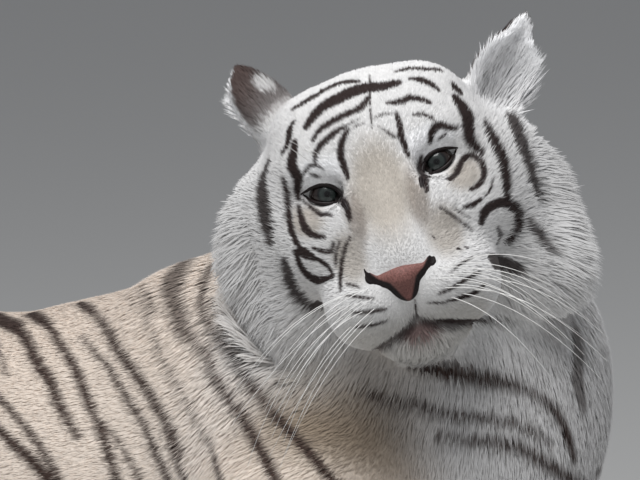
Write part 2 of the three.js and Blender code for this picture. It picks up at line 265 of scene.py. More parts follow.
CRANIUM = [
    ball([-78, 0, 22], [122, 112, 96]),
    *both_sides(lambda s: [ball([-66, s * 61, 43], [64, 44, 58])]),
]
CHEEKS = both_sides(
    lambda s: [ball([-52, s * 82, -38], [80, 56, 78]), ball([14, s * 58, -62], [52, 40, 44])]
)
BROWS = both_sides(lambda s: [ball([-14, s * 52, 26], [38, 40, 24])])
RUFFS = [
    ball([-92, -112, -38], [66, 74, 92]),
    ball([-72, -112, -96], [52, 56, 62]),
    ball([-92, 110, -66], [64, 74, 104]),
    ball([-78, 120, -116], [50, 58, 60]),
]
BRIDGE = [limb([-8, 0, 8], lean([92, 0, -70]), 46, 31), ball(lean([88, 0, -84]), [38, 36, 26])]
MUZZLE = both_sides(
    lambda s: [ball(lean([72, s * 36, -118]), [52, 42, 35]), ball(lean([34, s * 50, -122]), [50, 38, 40])]
)
JAW = [ball(lean([56, 0, -160]), [37, 38, 20]), limb([-70, 0, -118], lean([22, 0, -143]), 70, 38)]
UNDER_EYES = both_sides(lambda s: [ball([28, s * 42, -46], [42, 30, 44])])
HEAD = [in_head_frame(s) for s in [*CRANIUM, *CHEEKS, *BROWS, *RUFFS, *BRIDGE, *MUZZLE, *JAW, *UNDER_EYES]]
EYE_HOLLOWS = [in_head_frame(s) for s in both_sides(lambda s: [ball([39, s * 66, 0], [33, 25, 14.5])])]

NECK = [
    limb([-16, 0, 380], [98, 12, 508], 140, 128),
    limb([98, 12, 508], [138, 26, 606], 128, 112),
    limb([-215, 0, 398], [-90, -25, 450], 66, 80),  # the slope behind the withers
]
CHEST = [ball([190, 58, 420], [156, 184, 200]), ball([120, 0, 285], [185, 195, 240])]
BARREL = [ball([-130, 0, 248], [300, 195, 254]), ball([-400, 0, 228], [320, 192, 240])]
RUMP = [ball([-690, 0, 240], [270, 168, 216]), ball([-850, 0, 235], [140, 140, 182])]
BLADES = both_sides(lambda s: [limb([-45, s * 62, 492], [110, s * 125, 320], 52, 100)])

SHOULDER, ELBOW, WRIST = [150, 162, 305], [0, 200, 80], [300, 176, 50]
HIP, KNEE, HOCK, HIND_TOES = [-760, 110, 290], [-550, 218, 190], [-800, 236, 42], [-560, 268, 36]
FORE_PAW, HIND_PAW = [340, 172, 50], [-555, 268, 48]
HIND_PAW_SIZE = 0.88


def mirrored(place, side):
    """A place of the left side, on the side that is asked for."""
    return np.array([place[0], side * place[1], place[2]], float)


def fore_leg(s):
    shoulder, elbow, wrist = (mirrored(p, s) for p in (SHOULDER, ELBOW, WRIST))
    return [limb(shoulder, elbow, 116, 86), limb(elbow, wrist, 80, 54)]


def hind_leg(s):
    hip, knee, hock, toes = (mirrored(p, s) for p in (HIP, KNEE, HOCK, HIND_TOES))
    thigh = joined([ball([-690, s * 128, 225], [200, 112, 205]), limb(hip, knee, 110, 84)], 44)
    return [thigh, limb(knee, hock, 80, 46), limb(hock, toes, 44, 42)]


TOE_PLACES = [-1.5, -0.5, 0.5, 1.5]


def toe_line(paw, side, size, place):
    """The two ends of a toe."""
    x, y, z = paw
    back, across = place * place * 7 * size, side * y + place * 29 * size
    return [x + 58 * size - back, across, 32 * size], [x + 96 * size - back, across + place * 2, 22 * size]


def paw_shapes(paw, side, size):
    toes = [limb(*toe_line(paw, side, size, place), 25 * size, 23 * size) for place in TOE_PLACES]
    x, y, z = paw
    return [ball([x + 34 * size, side * y, z - 8], [74 * size, 60 * size, 46 * size]), *toes]


LEGS = [shape for s in SIDES.values() for shape in (*fore_leg(s), *hind_leg(s))]
PAWS = both_sides(lambda s: [*paw_shapes(FORE_PAW, s, 1), *paw_shapes(HIND_PAW, s, HIND_PAW_SIZE)])

TAIL_POINTS = [
    [-900, 0, 270],
    [-1010, 4, 178],
    [-1100, 8, 88],
    [-1190, -26, 46],
    [-1248, -120, 36],
    [-1224, -238, 34],
    [-1130, -330, 32],
    [-1010, -392, 29],
    [-900, -420, 26],
]
TAIL_ROOT_RADIUS, TAIL_TIP_RADIUS = 52, 27
TAIL_COAT = 9
TAIL_LINE = smooth_line(TAIL_POINTS, 41)
TAIL_SHARE = np.linspace(0, 1, len(TAIL_LINE))
TAIL_RADIUS = mix(TAIL_ROOT_RADIUS, TAIL_TIP_RADIUS, TAIL_SHARE**0.7)
TAIL_RADIUS = TAIL_RADIUS * np.minimum(1, 0.4 + (1 - TAIL_SHARE) * 14) - TAIL_COAT
TAIL = [limb(*ends) for ends in zip(TAIL_LINE, TAIL_LINE[1:], TAIL_RADIUS, TAIL_RADIUS[1:])]

# An ear is a cup, in a frame of its own: +X out of the cup, +Z to the tip.
EAR_HALF = {"right": np.array([26.0, 41.0, 57.0]), "left": np.array([26.0, 35.0, 57.0])}
EAR_COAT, EAR_WALL, EAR_LIP = 1.5, 8.0, [15.0, 0.0, 4.0]
EARS = {"right": ([-98, -96, 96], [24, 0, -118]), "left": ([-96, 139, 62], [-40, 0, 22])}
EAR_TIPS = {"right": 60.0, "left": 73.0}  # from the ear's middle
EAR_TIP_HALF = 38.0


def ear_frame(side):
    place, (a, b, c) = EARS[side]
    return from_head(place), HEAD_AXES @ turn("X", a) @ turn("Y", b) @ turn("Z", c)


def ear_shape(side):
    tip = EAR_TIPS[side] - EAR_TIP_HALF
    half = EAR_HALF[side]
    outer_tip = ball([-8, 0, tip], [12, half[1] / 2, EAR_TIP_HALF])
    inner_tip = ball([8, 0, tip], [13, half[1] / 2 - EAR_WALL, EAR_TIP_HALF - EAR_WALL])
    outer = joined([ball([0, 0, 0], half - EAR_COAT), outer_tip], 6)
    inner = joined([ball(EAR_LIP, half - EAR_WALL), inner_tip], 6)

    def at(x, y, z):
        return -soft_min(-outer(x, y, z), inner(x, y, z), 3)

    return placed(Shape(at, [0, 0, 6], half.max() + 12), *ear_frame(side))


# ---------- the face's folds, in the head's frame ----------
FACE_COAT, CROWN_COAT, NECK_COAT, BODY_COAT, PAW_COAT = 3.0, 6.0, 12.0, 5.0, 4.0
LID = 3.4
OPENING_TILT = 18.7  # degrees, up toward the outer corner
OPENING_OUT, OPENING_UP = 3.5, -0.6  # the middle of the opening, from the eye's
OPENING_HALF = np.array([19.0, 10.2])


def opening_frame(side):
    """Along and over the opening between the lids, in the head's left and up."""
    a = math.radians(OPENING_TILT)
    return np.array([side * math.cos(a), math.sin(a)]), np.array([-side * math.sin(a), math.cos(a)])


def opening_distance(side, left, up):
    """How far a place of the face lies outside the opening between the lids."""
    along, over = opening_frame(side)
    l = left - side * (EYE_PLACE[1] + OPENING_OUT)
    u = up - OPENING_UP
    a, o = l * along[0] + u * along[1], l * over[0] + u * over[1]
    long, high = OPENING_HALF
    arc = (long * long + high * high) / (2 * high)
    return np.sqrt(a * a + (np.abs(o) + arc - high) ** 2) - arc


def opening_shape(side):
    def at(x, y, z):
        return np.maximum(opening_distance(side, y, z), EYE_PLACE[0] + 4 - x)

    return in_head_frame(Shape(at, [22, side * 60, 0], 44))


# The lips' line and the groove under the nose, (left, up) on the face, for one side.
LIP_STEPS = 14
LIP_LINE = smooth_line([(70, -174), (58, -167), (44, -162), (22, -156), (8, -150), (0, -144)], LIP_STEPS)
LIP_RADIUS = np.linspace(1.6, 3.8, LIP_STEPS)
GROOVE_RADII = 2.2, 2.6
LIP_SUNK, GROOVE_SUNK = 1.0, 0.5
GROOVE_LINE = smooth_line([(0, -126), (0, -135), (0, -144)], 4)
HEAD_FILLET = 32


def face_depth(left, up):
    """How far forward the head reaches at a place of the face, less the coat."""
    forward = np.arange(150.0, -40, -0.5)
    along = from_head(np.stack([forward, np.full_like(forward, left), np.full_like(forward, up)], axis=1))
    inside = np.flatnonzero(joined(HEAD, HEAD_FILLET).of(along) + FACE_COAT < 0)
    return forward[inside[0]] if len(inside) else 0.0


def on_face(line, side, sink):
    """A line of (left, up) laid on the face."""
    places = []
    for left, up in line:
        x, y, z = lean([face_depth(side * left, up), side * left, up])
        places.append([face_depth(y, z) - sink, y, z])
    return np.array(places)


def mouth_shapes():
    made = []
    for s in SIDES.values():
        line = on_face(LIP_LINE, s, LIP_SUNK)
        made += [in_head_frame(limb(*ends)) for ends in zip(line, line[1:], LIP_RADIUS, LIP_RADIUS[1:])]
    return made


MOUTH = mouth_shapes()
GROOVE = on_face(GROOVE_LINE, 1, GROOVE_SUNK)
CREASES = [in_head_frame(limb(a, b, *GROOVE_RADII)) for a, b in zip(GROOVE, GROOVE[1:])]


# ---------- how deep the coat lies over the skin ----------
RUFF_MIDDLES = {"right": [-92, -140, -62], "left": [-92, 145, -92]}
RUFF_COAT = 16.0


def ruff_share(points):
    """1 in the middle of each cheek's ruff, 0 away from it."""
    h = to_head(points)
    share = 0
    for middle in RUFF_MIDDLES.values():
        away = np.linalg.norm((h - middle) / [70, 62, 100], axis=1)
        share = np.maximum(share, 1 - ramp(0.35, 1.25, away))
    return share * (1 - ramp(-40, 0, h[:, 0]))


def head_share(points):
    """1 on the head, 0 on the neck and beyond."""
    h = to_head(points)
    return 1 - ramp(0.95, 1.3, np.linalg.norm((h - [-40, 0, -50]) / [185, 185, 170], axis=1))


def paw_share(points):
    away = np.full(len(points), 1e3)
    for s in SIDES.values():
        for paw in (FORE_PAW, HIND_PAW):
            away = np.minimum(away, np.linalg.norm(points - (mirrored(paw, s) + [50, 0, -15]), axis=1))
    return 1 - ramp(90, 170, away)


def coat_depth(points):
    h = to_head(points)
    neck = 1 - ramp(160, 420, np.linalg.norm(points - [120, 0, 560], axis=1))
    depth = mix(BODY_COAT, NECK_COAT, neck)
    depth = mix(depth, PAW_COAT, paw_share(points))
    head_coat = mix(CROWN_COAT, FACE_COAT, ramp(-90, -10, h[:, 0]))
    depth = mix(depth, head_coat, head_share(points))
    depth = depth + RUFF_COAT * ruff_share(points)
    return mix(1.0, depth, ramp(0, 70, points[:, 2]))


# ---------- the skin's surface ----------
FAR = 1000.0
MARGIN = 70.0  # how far round a shape its field is worked out, past its fillet


class Grid:
    """Distances on a box of points whose spacing may change along each axis."""

    def __init__(self, axes):
        self.axes = [np.asarray(a, np.float32) for a in axes]
        self.size = tuple(len(a) for a in axes)

    def block(self, shape, margin):
        """The slices of the grid that come near a shape, and their coordinates."""
        reach = shape.reach + margin
        cut = [slice(*np.searchsorted(a, (c - reach, c + reach))) for a, c in zip(self.axes, shape.centre)]
        return tuple(cut), np.ix_(*(a[s] for a, s in zip(self.axes, cut)))

    def join(self, total, shapes, fillet):
        for shape in shapes:
            cut, where = self.block(shape, fillet + MARGIN)
            total[cut] = soft_min(total[cut], shape(*where).astype(np.float32), fillet)
        return total

    def all_of(self, shapes, fillet):
        return self.join(np.full(self.size, FAR, np.float32), shapes, fillet)

    def cut(self, total, shapes, fillet):
        for shape in shapes:
            cut, where = self.block(shape, fillet + 4)
            total[cut] = -soft_min(-total[cut], shape(*where).astype(np.float32), fillet)
        return total


def surface(values, axes):
    """The zero surface of a grid: vertices, and quads that face out."""
    inside = values < 0
    corners = [(a, b, c) for a in (0, 1) for b in (0, 1) for c in (0, 1)]
    cells = tuple(n - 1 for n in values.shape)
    part = lambda grid, o: grid[tuple(slice(d, d + n) for d, n in zip(o, cells))]
    count = sum(part(inside, o).astype(np.int8) for o in corners)
    live = np.argwhere((count > 0) & (count < 8))
    number = np.full(cells, -1, np.int32)
    number[tuple(live.T)] = np.arange(len(live))
    total, crossings = np.zeros((len(live), 3)), np.zeros(len(live))
    places = [np.asarray(a, float) for a in axes]
    for a in corners:
        for axis in range(3):
            if a[axis]:
                continue
            b = tuple(v + (i == axis) for i, v in enumerate(a))
            ia, ib = tuple((live + a).T), tuple((live + b).T)
            va, vb = values[ia], values[ib]
            hit = (va < 0) != (vb < 0)
            t = np.where(hit, va / np.where(hit, va - vb, 1), 0)
            for i in range(3):
                at = mix(places[i][ia[i]], places[i][ib[i]], t)
                total[:, i] += np.where(hit, at, 0)
            crossings += hit
    vertices = total / crossings[:, None]
    quads = []
    for axis in range(3):
        u, v = (axis + 1) % 3, (axis + 2) % 3
        low = [slice(None)] * 3
        high = [slice(None)] * 3
        low[axis], high[axis] = slice(0, -1), slice(1, None)
        change = inside[tuple(low)] != inside[tuple(high)]
        at = np.argwhere(change)
        at = at[(at[:, u] > 0) & (at[:, v] > 0) & (at[:, u] < cells[u]) & (at[:, v] < cells[v])]
        step = np.eye(3, dtype=int)
        ring = [at, at - step[u], at - step[u] - step[v], at - step[v]]
        face = np.stack([number[tuple(r.T)] for r in ring], axis=1)
        outward = inside[tuple(at.T)]
        face[~outward] = face[~outward][:, ::-1]
        quads.append(face)
    return vertices, np.vstack(quads)


def spaced(stops):
    """Coordinates from a list of (start, spacing) and a last (end,)."""
    made = []
    for (start, step), nxt in zip(stops, stops[1:]):
        count = max(1, round((nxt[0] - start) / step))
        made.append(np.linspace(start, nxt[0], count, endpoint=False))
    return np.concatenate([*made, [stops[-1][0]]])


FACE_STEP, HEAD_STEP, BODY_STEP = ((3.2, 5.2, 13.8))
SKIN_AXES = [
    spaced([(-1310, BODY_STEP), (12, HEAD_STEP), (128, FACE_STEP), (372, BODY_STEP), (470,)]),
    spaced([(-460, BODY_STEP), (-278, FACE_STEP), (-92, HEAD_STEP), (58, BODY_STEP), (345,)]),
    spaced([(-12, BODY_STEP), (456, FACE_STEP), (740, HEAD_STEP), (826,)]),
]


# How softly the shapes run into each other.
TRUNK_FILLET, LEG_FILLET, PAW_FILLET, ANKLE_FILLET, LIMB_FILLET = 80, 36, 12, 18, 44
HOLLOW_FILLET, NECK_FILLET, LID_FILLET, TAIL_FILLET, EAR_FILLET = 12, 30, 9, 14, 12
OPENING_FILLET, MOUTH_FILLET, CREASE_FILLET = 2.5, 5, 4
SKIN_LOW = 0.6  # the skin's lowest place over the floor


def skin_values(grid):
    torso = grid.all_of([*CHEST, *BARREL, *RUMP, *BLADES, *NECK], TRUNK_FILLET)
    limbs = soft_min(grid.all_of(LEGS, LEG_FILLET), grid.all_of(PAWS, PAW_FILLET), ANKLE_FILLET)
    body = soft_min(torso, limbs, LIMB_FILLET)
    head = grid.cut(grid.all_of(HEAD, HEAD_FILLET), EYE_HOLLOWS, HOLLOW_FILLET)
    animal = soft_min(body, head, NECK_FILLET)
    near = np.abs(animal) < MARGIN
    where = np.argwhere(near)
    points = np.stack([a[i] for a, i in zip(grid.axes, where.T)], axis=1).astype(float)
    animal[near] += coat_depth(points).astype(np.float32)
    lids = [ball(EYE_PLACE * [1, s, 1], [EYE_RADIUS + LID] * 3) for s in SIDES.values()]
    grid.join(animal, [in_head_frame(shape) for shape in lids], LID_FILLET)
    grid.cut(animal, [opening_shape(s) for s in SIDES.values()], OPENING_FILLET)
    grid.cut(animal, MOUTH, MOUTH_FILLET)
    grid.cut(animal, CREASES, CREASE_FILLET)
    grid.join(animal, TAIL, TAIL_FILLET)
    grid.join(animal, [ear_shape(side) for side in SIDES], EAR_FILLET)
    return np.maximum(animal, SKIN_LOW - grid.axes[2][None, None, :])


# ---------- meshes ----------
def make_mesh(name, vertices, faces, colours, uv=None):
    """An object from vertices in millimetres, face arrays (each n by 3 or 4) and colours."""
    mesh = bpy.data.meshes.new(name)
    corners = np.concatenate([f.reshape(-1) for f in faces]).astype(np.int32)
    sizes = np.concatenate([np.full(len(f), f.shape[1]) for f in faces])
    starts = np.concatenate([[0], np.cumsum(sizes)[:-1]]).astype(np.int32)
    mesh.vertices.add(len(vertices))
    mesh.vertices.foreach_set("co", to_row(vertices).astype(np.float32).ravel())
    mesh.loops.add(len(corners))
    mesh.loops.foreach_set("vertex_index", corners)
    mesh.polygons.add(len(sizes))
    mesh.polygons.foreach_set("loop_start", starts)
    mesh.polygons.foreach_set("use_smooth", np.full(len(sizes), True))
    mesh.update(calc_edges=True)
    layer = mesh.attributes.new("Tint", "FLOAT_COLOR", "POINT")
    opaque = np.column_stack([colours, np.ones(len(colours))])
    layer.data.foreach_set("color", opaque.astype(np.float32).ravel())
    if uv is not None:
        layer = mesh.uv_layers.new(name="OFBake")
        layer.data.foreach_set("uv", uv[corners].astype(np.float32).ravel())
    made = bpy.data.objects.new(name, mesh)
    bpy.context.scene.collection.objects.link(made)
    return made


def normals_of(vertices, quads):
    a, b, c, d = (vertices[quads[:, i]] for i in range(4))
    face = np.cross(c - a, d - b)
    total = np.zeros_like(vertices)
    for i in range(4):
        for axis in range(3):
            total[:, axis] += np.bincount(quads[:, i], face[:, axis], len(vertices))
    return unit(total)


SKIN_ROUNDS = 2  # of smoothing
LIE_ROUNDS, TINT_ROUNDS = 6, 14


def averaged(values, quads, rounds):
    """Vertex values smoothed over the mesh."""
    a, b = quads.ravel(), np.roll(quads, -1, axis=1).ravel()
    count = np.bincount(a, minlength=len(values)) + np.bincount(b, minlength=len(values)) + 1
    for _ in range(rounds):
        total = values.copy()
        for axis in range(values.shape[1]):
            total[:, axis] += np.bincount(a, values[b, axis], len(values))
            total[:, axis] += np.bincount(b, values[a, axis], len(values))
        values = total / count[:, None]
    return values


def make_skin_surface():
    grid = Grid(SKIN_AXES)
    vertices, quads = surface(skin_values(grid), grid.axes)
    return averaged(vertices, quads, SKIN_ROUNDS), quads


skin_points, skin_faces = make_skin_surface()
skin_normals = normals_of(skin_points, skin_faces)
skin_tree = BVHTree.FromPolygons(skin_points.tolist(), skin_faces.tolist())


def hit_and_normal(start, direction):
    """Where a ray first meets the skin, and the skin's normal there."""
    hit, normal = skin_tree.ray_cast(Vector(start), Vector(direction))[:2]
    return (None, None) if hit is None else (np.array(hit), np.array(normal))


def first_hit(start, direction):
    """Where a ray first meets the skin, or None."""
    return hit_and_normal(start, direction)[0]


# ---------- parts of the body ----------
def bone_direction(a, b, side):
    return unit(mirrored(b, side) - mirrored(a, side))


def body_parts():
    """Each part: its shape, which way its coat lies, and the piece of the coat that it is in."""
    parts = {
        "neck": (joined(NECK, 20), unit(np.array([-154.0, -26, -226])), "coat_neck"),
        "chest": (joined(CHEST, 40), unit(np.array([-0.3, 0, -1.0])), "coat_chest"),
        "barrel": (joined(BARREL, 40), unit(np.array([-1.0, 0, -0.3])), "coat_flank"),
        "rump": (joined(RUMP, 40), unit(np.array([-1.0, 0, -0.4])), "coat_rump"),
    }
    for name, s in SIDES.items():
        upper, lower = fore_leg(s)
        thigh, shank, foot = hind_leg(s)
        parts["upper_arm_" + name] = (upper, bone_direction(SHOULDER, ELBOW, s), "coat_fore_legs")
        parts["forearm_" + name] = (lower, bone_direction(ELBOW, WRIST, s), "coat_fore_legs")
        parts["thigh_" + name] = (thigh, unit(np.array([-0.5, 0, -1.0])), "coat_hind_legs")
        parts["shank_" + name] = (shank, bone_direction(KNEE, HOCK, s), "coat_hind_legs")
        parts["hind_foot_" + name] = (foot, bone_direction(HOCK, HIND_TOES, s), "coat_hind_legs")
        fore = joined(paw_shapes(FORE_PAW, s, 1), 12)
        hind = joined(paw_shapes(HIND_PAW, s, HIND_PAW_SIZE), 12)
        parts["fore_paw_" + name] = (fore, np.array([1.0, 0, -0.2]), "coat_paws")
        parts["hind_paw_" + name] = (hind, np.array([1.0, 0, -0.2]), "coat_paws")
    return parts


PARTS = body_parts()
PART_NAMES = [*PARTS, "tail", "head", "ear_right", "ear_left"]
PART_BIAS = {"neck": 12, "chest": 6, "ear_right": -6, "ear_left": -6}
PART_BLEND = 14  # how far parts run into each other


def part_distances(points):
    """How far each point lies from each part, in the order of PART_NAMES."""
    rows = [shape.of(points) for shape, _, _ in PARTS.values()]
    rows.append(np.min([s.of(points) for s in TAIL], axis=0))
    rows.append(joined(HEAD, 26).of(points))
    rows += [ear_shape(side).of(points) for side in SIDES]
    return np.array(rows) + np.array([PART_BIAS.get(n, 0) for n in PART_NAMES])[:, None]


NOSE_TIP = np.array([125.0, 0, -100])
RUFF_DROOP = 0.35


def tail_direction(points):
    middles, steps = (TAIL_LINE[1:] + TAIL_LINE[:-1]) / 2, unit(np.diff(TAIL_LINE, axis=0))
    away = np.linalg.norm(points[:, None] - middles[None], axis=2)
    return steps[away.argmin(axis=1)]


def head_direction(points):
    """Away from the nose, drooping in the ruff."""
    out = unit((to_head(points) - NOSE_TIP) @ HEAD_AXES.T)
    out[:, 2] -= RUFF_DROOP * ruff_share(points)
    h = to_head(points)
    chin = ramp(-160, -180, h[:, 2]) * ramp(-10, 20, h[:, 0])
    return mix(out, np.array([0.0, 0, -1]) + 0.35 * HEAD_AXES[:, 0], chin[:, None])


def lie_of(points, normals, faces, shares):
    """Which way the coat lies at each point of the skin."""
    total = np.zeros_like(points)
    for row, name in enumerate(PART_NAMES):
        if name == "tail":
            direction = tail_direction(points)
        elif name == "head":
            direction = head_direction(points)
        elif name.startswith("ear_"):
            place, axes = ear_frame(name[4:])
            direction = unit(axes[:, 2] + 0.5 * unit(points - place))
        else:
            direction = PARTS[name][1][None]
        total += shares[row][:, None] * direction
    along = lambda v: unit(v - normals * (v * normals).sum(axis=1, keepdims=True))
    return along(averaged(along(total), faces, LIE_ROUNDS))


skin_distances = part_distances(skin_points)
skin_part = skin_distances.argmin(axis=0)
skin_shares = np.exp(-(skin_distances - skin_distances.min(axis=0)) / PART_BLEND)
skin_shares /= skin_shares.sum(axis=0)
skin_lie = lie_of(skin_points, skin_normals, skin_faces, skin_shares)


def share_of(*names):
    """How much of each skin point belongs to parts whose names start so."""
    return sum(skin_shares[i] for i, n in enumerate(PART_NAMES) if n.startswith(names))


# ---------- colours ----------
def linear(red, green, blue):
    """A colour from its 0 to 255 screen values."""
    s = np.array([red, green, blue]) / 255
    return np.where(s <= 0.04045, s / 12.92, ((s + 0.055) / 1.055) ** 2.4)


WHITE = linear(230, 229, 228)
CREAM = linear(238, 225, 212)
BEIGE = linear(222, 205, 189)
# Painted light: a white brighter than the fur's own, for the shaded hollows above the eyes and inside the
# ears.
PAINTED_LIGHT_WHITE = linear(254, 254, 255)
BRIDGE_GREY = linear(184, 176, 165)
TEAR_BROWN = linear(152, 141, 131)
PATCH_TAN = linear(180, 172, 162)
# A brown for the throat's stain and for painted shade under the head and jaw.
BROWN_STAIN_AND_SHADE = linear(140, 123, 102)
STRIPE_BLACK = linear(48, 37, 35)
STRIPE_BROWN = linear(66, 50, 44)
EAR_BROWN = linear(78, 62, 58)
LIP = linear(48, 34, 34)
MOUTH_PINK = linear(98, 68, 65)
# Painted shade for the lower halves of the whisker pads.
PAD_PAINTED_SHADE = linear(196, 193, 188)
EAR_SPOT = {"right": 2.0, "left": 9.0}  # how far to the left of the ear's middle


def blotch(h, left, up, half_left, half_up):
    """1 inside an oval of the face, fading to 0 outside it."""
    away = np.hypot((h[:, 1] - left) / half_left, (h[:, 2] - up) / half_up)
    return (1 - ramp(0.45, 1.15, away)) * ramp(-30, 0, h[:, 0])


def plain_tint(count, colour):
    return np.tile(colour, (count, 1))


def toward(colours, colour, share):
    return mix(colours, colour, np.asarray(share)[:, None])


def ground_tint(points, normals):
    """The coat's colour between the stripes at each point of the skin, with painted shade under the jaw,
    the head and the pads, and painted light above the eyes and inside the ears.
    """
    h = to_head(points)
    tint = plain_tint(len(points), WHITE)
    on_head = share_of("head")
    body = 1 - share_of("head", "ear", "chest", "tail") + on_head * ramp(-70, -170, h[:, 0])
    tint = toward(tint, CREAM, body * ramp(70, 250, points[:, 2]))
    tint = toward(tint, CREAM, 0.6 * share_of("tail"))
    tint = toward(tint, CREAM, share_of("chest") * ramp(150, 60, points[:, 0]))
    tint = toward(tint, BEIGE, 0.55 * share_of("barrel", "rump") * ramp(0.2, 0.9, normals[:, 2]))
    # A yellowish-brown stain on the throat, with painted shade from the head over it.
    throat = np.linalg.norm((points - [165, -150, 400]) / [105, 90, 110], axis=1)
    tint = toward(tint, BROWN_STAIN_AND_SHADE, 0.9 * (1 - ramp(0.4, 1.25, throat)))
    # Painted shade under the jaw and on its lower sides, in the throat's brown.
    jaw_back_shade = on_head * ramp(-125, -170, h[:, 2]) * ramp(30, -20, h[:, 0]) * ramp(40, -20, h[:, 1])
    beside = np.abs(h[:, 1] - MUZZLE_LEAN)
    jaw_side_shade = on_head * ramp(-154, -166, h[:, 2]) * ramp(34, 50, beside)
    jaw_side_shade = jaw_side_shade * ramp(-30, 0, h[:, 0]) * ramp(90, 70, beside)
    front = np.maximum(ramp(-150, -80, h[:, 0]), ramp(0.05, 0.4, ruff_share(points)))
    tint = toward(tint, WHITE, on_head * front)
    # Painted shade under the jaw.
    tint = toward(tint, BROWN_STAIN_AND_SHADE, 0.6 * np.maximum(jaw_back_shade, jaw_side_shade))
    tint = toward(tint, BRIDGE_GREY, 0.9 * on_head * blotch(h, 0, -14, 38, 62))
    for s in SIDES.values():
        tint = toward(tint, TEAR_BROWN, 0.75 * on_head * blotch(h, s * 31, -34, 12, 36))
        tint = toward(tint, PATCH_TAN, 0.8 * on_head * blotch(h, s * 47, -70, 20, 30))
        tint = toward(tint, PATCH_TAN, 0.85 * on_head * blotch(h, s * 80, -22, 22, 20))
        tint = toward(tint, WHITE, on_head * blotch(h, s * 50, -18, 18, 7))
        # Painted light above each eye, where the brow casts shade.
        tint = toward(tint, PAINTED_LIGHT_WHITE, on_head * blotch(h, s * 56, 20, 34, 19))
    # Painted shade on the pads' lower halves, under the muzzle.
    pad_painted_shade = on_head * ramp(-126, -150, h[:, 2]) * ramp(40, 70, h[:, 0]) * ramp(80, 60, beside)
    tint = toward(tint, PAD_PAINTED_SHADE, 0.8 * pad_painted_shade)
    tint = toward(tint, MOUTH_PINK, 0.85 * blotch(h, MUZZLE_LEAN, -155, 23, 10))
    for name in SIDES:
        place, axes = ear_frame(name)
        local = (points - place) @ axes
        ear = share_of("ear_" + name)
        behind = 1 - ramp(0.0, 0.4, (normals @ axes)[:, 0])
        dark = ear * behind * ramp(-16, 4, local[:, 2])
        away = np.linalg.norm((local - [-22, EAR_SPOT[name], 24]) / [30, 19, 14], axis=1)
        spot = 1 - ramp(0.6, 1.0, away)
        # Painted light on the inside of each ear, which faces away from the light above.
        tint = toward(tint, PAINTED_LIGHT_WHITE, ear * (1 - behind))
        tint = toward(tint, EAR_BROWN, dark)
        tint = toward(tint, WHITE, ear * behind * spot)
    mouth = np.min([s.of(points) for s in MOUTH], axis=0)
    tint = toward(tint, LIP, 0.9 * (1 - ramp(0.3, 3.0, mouth)))
    return tint


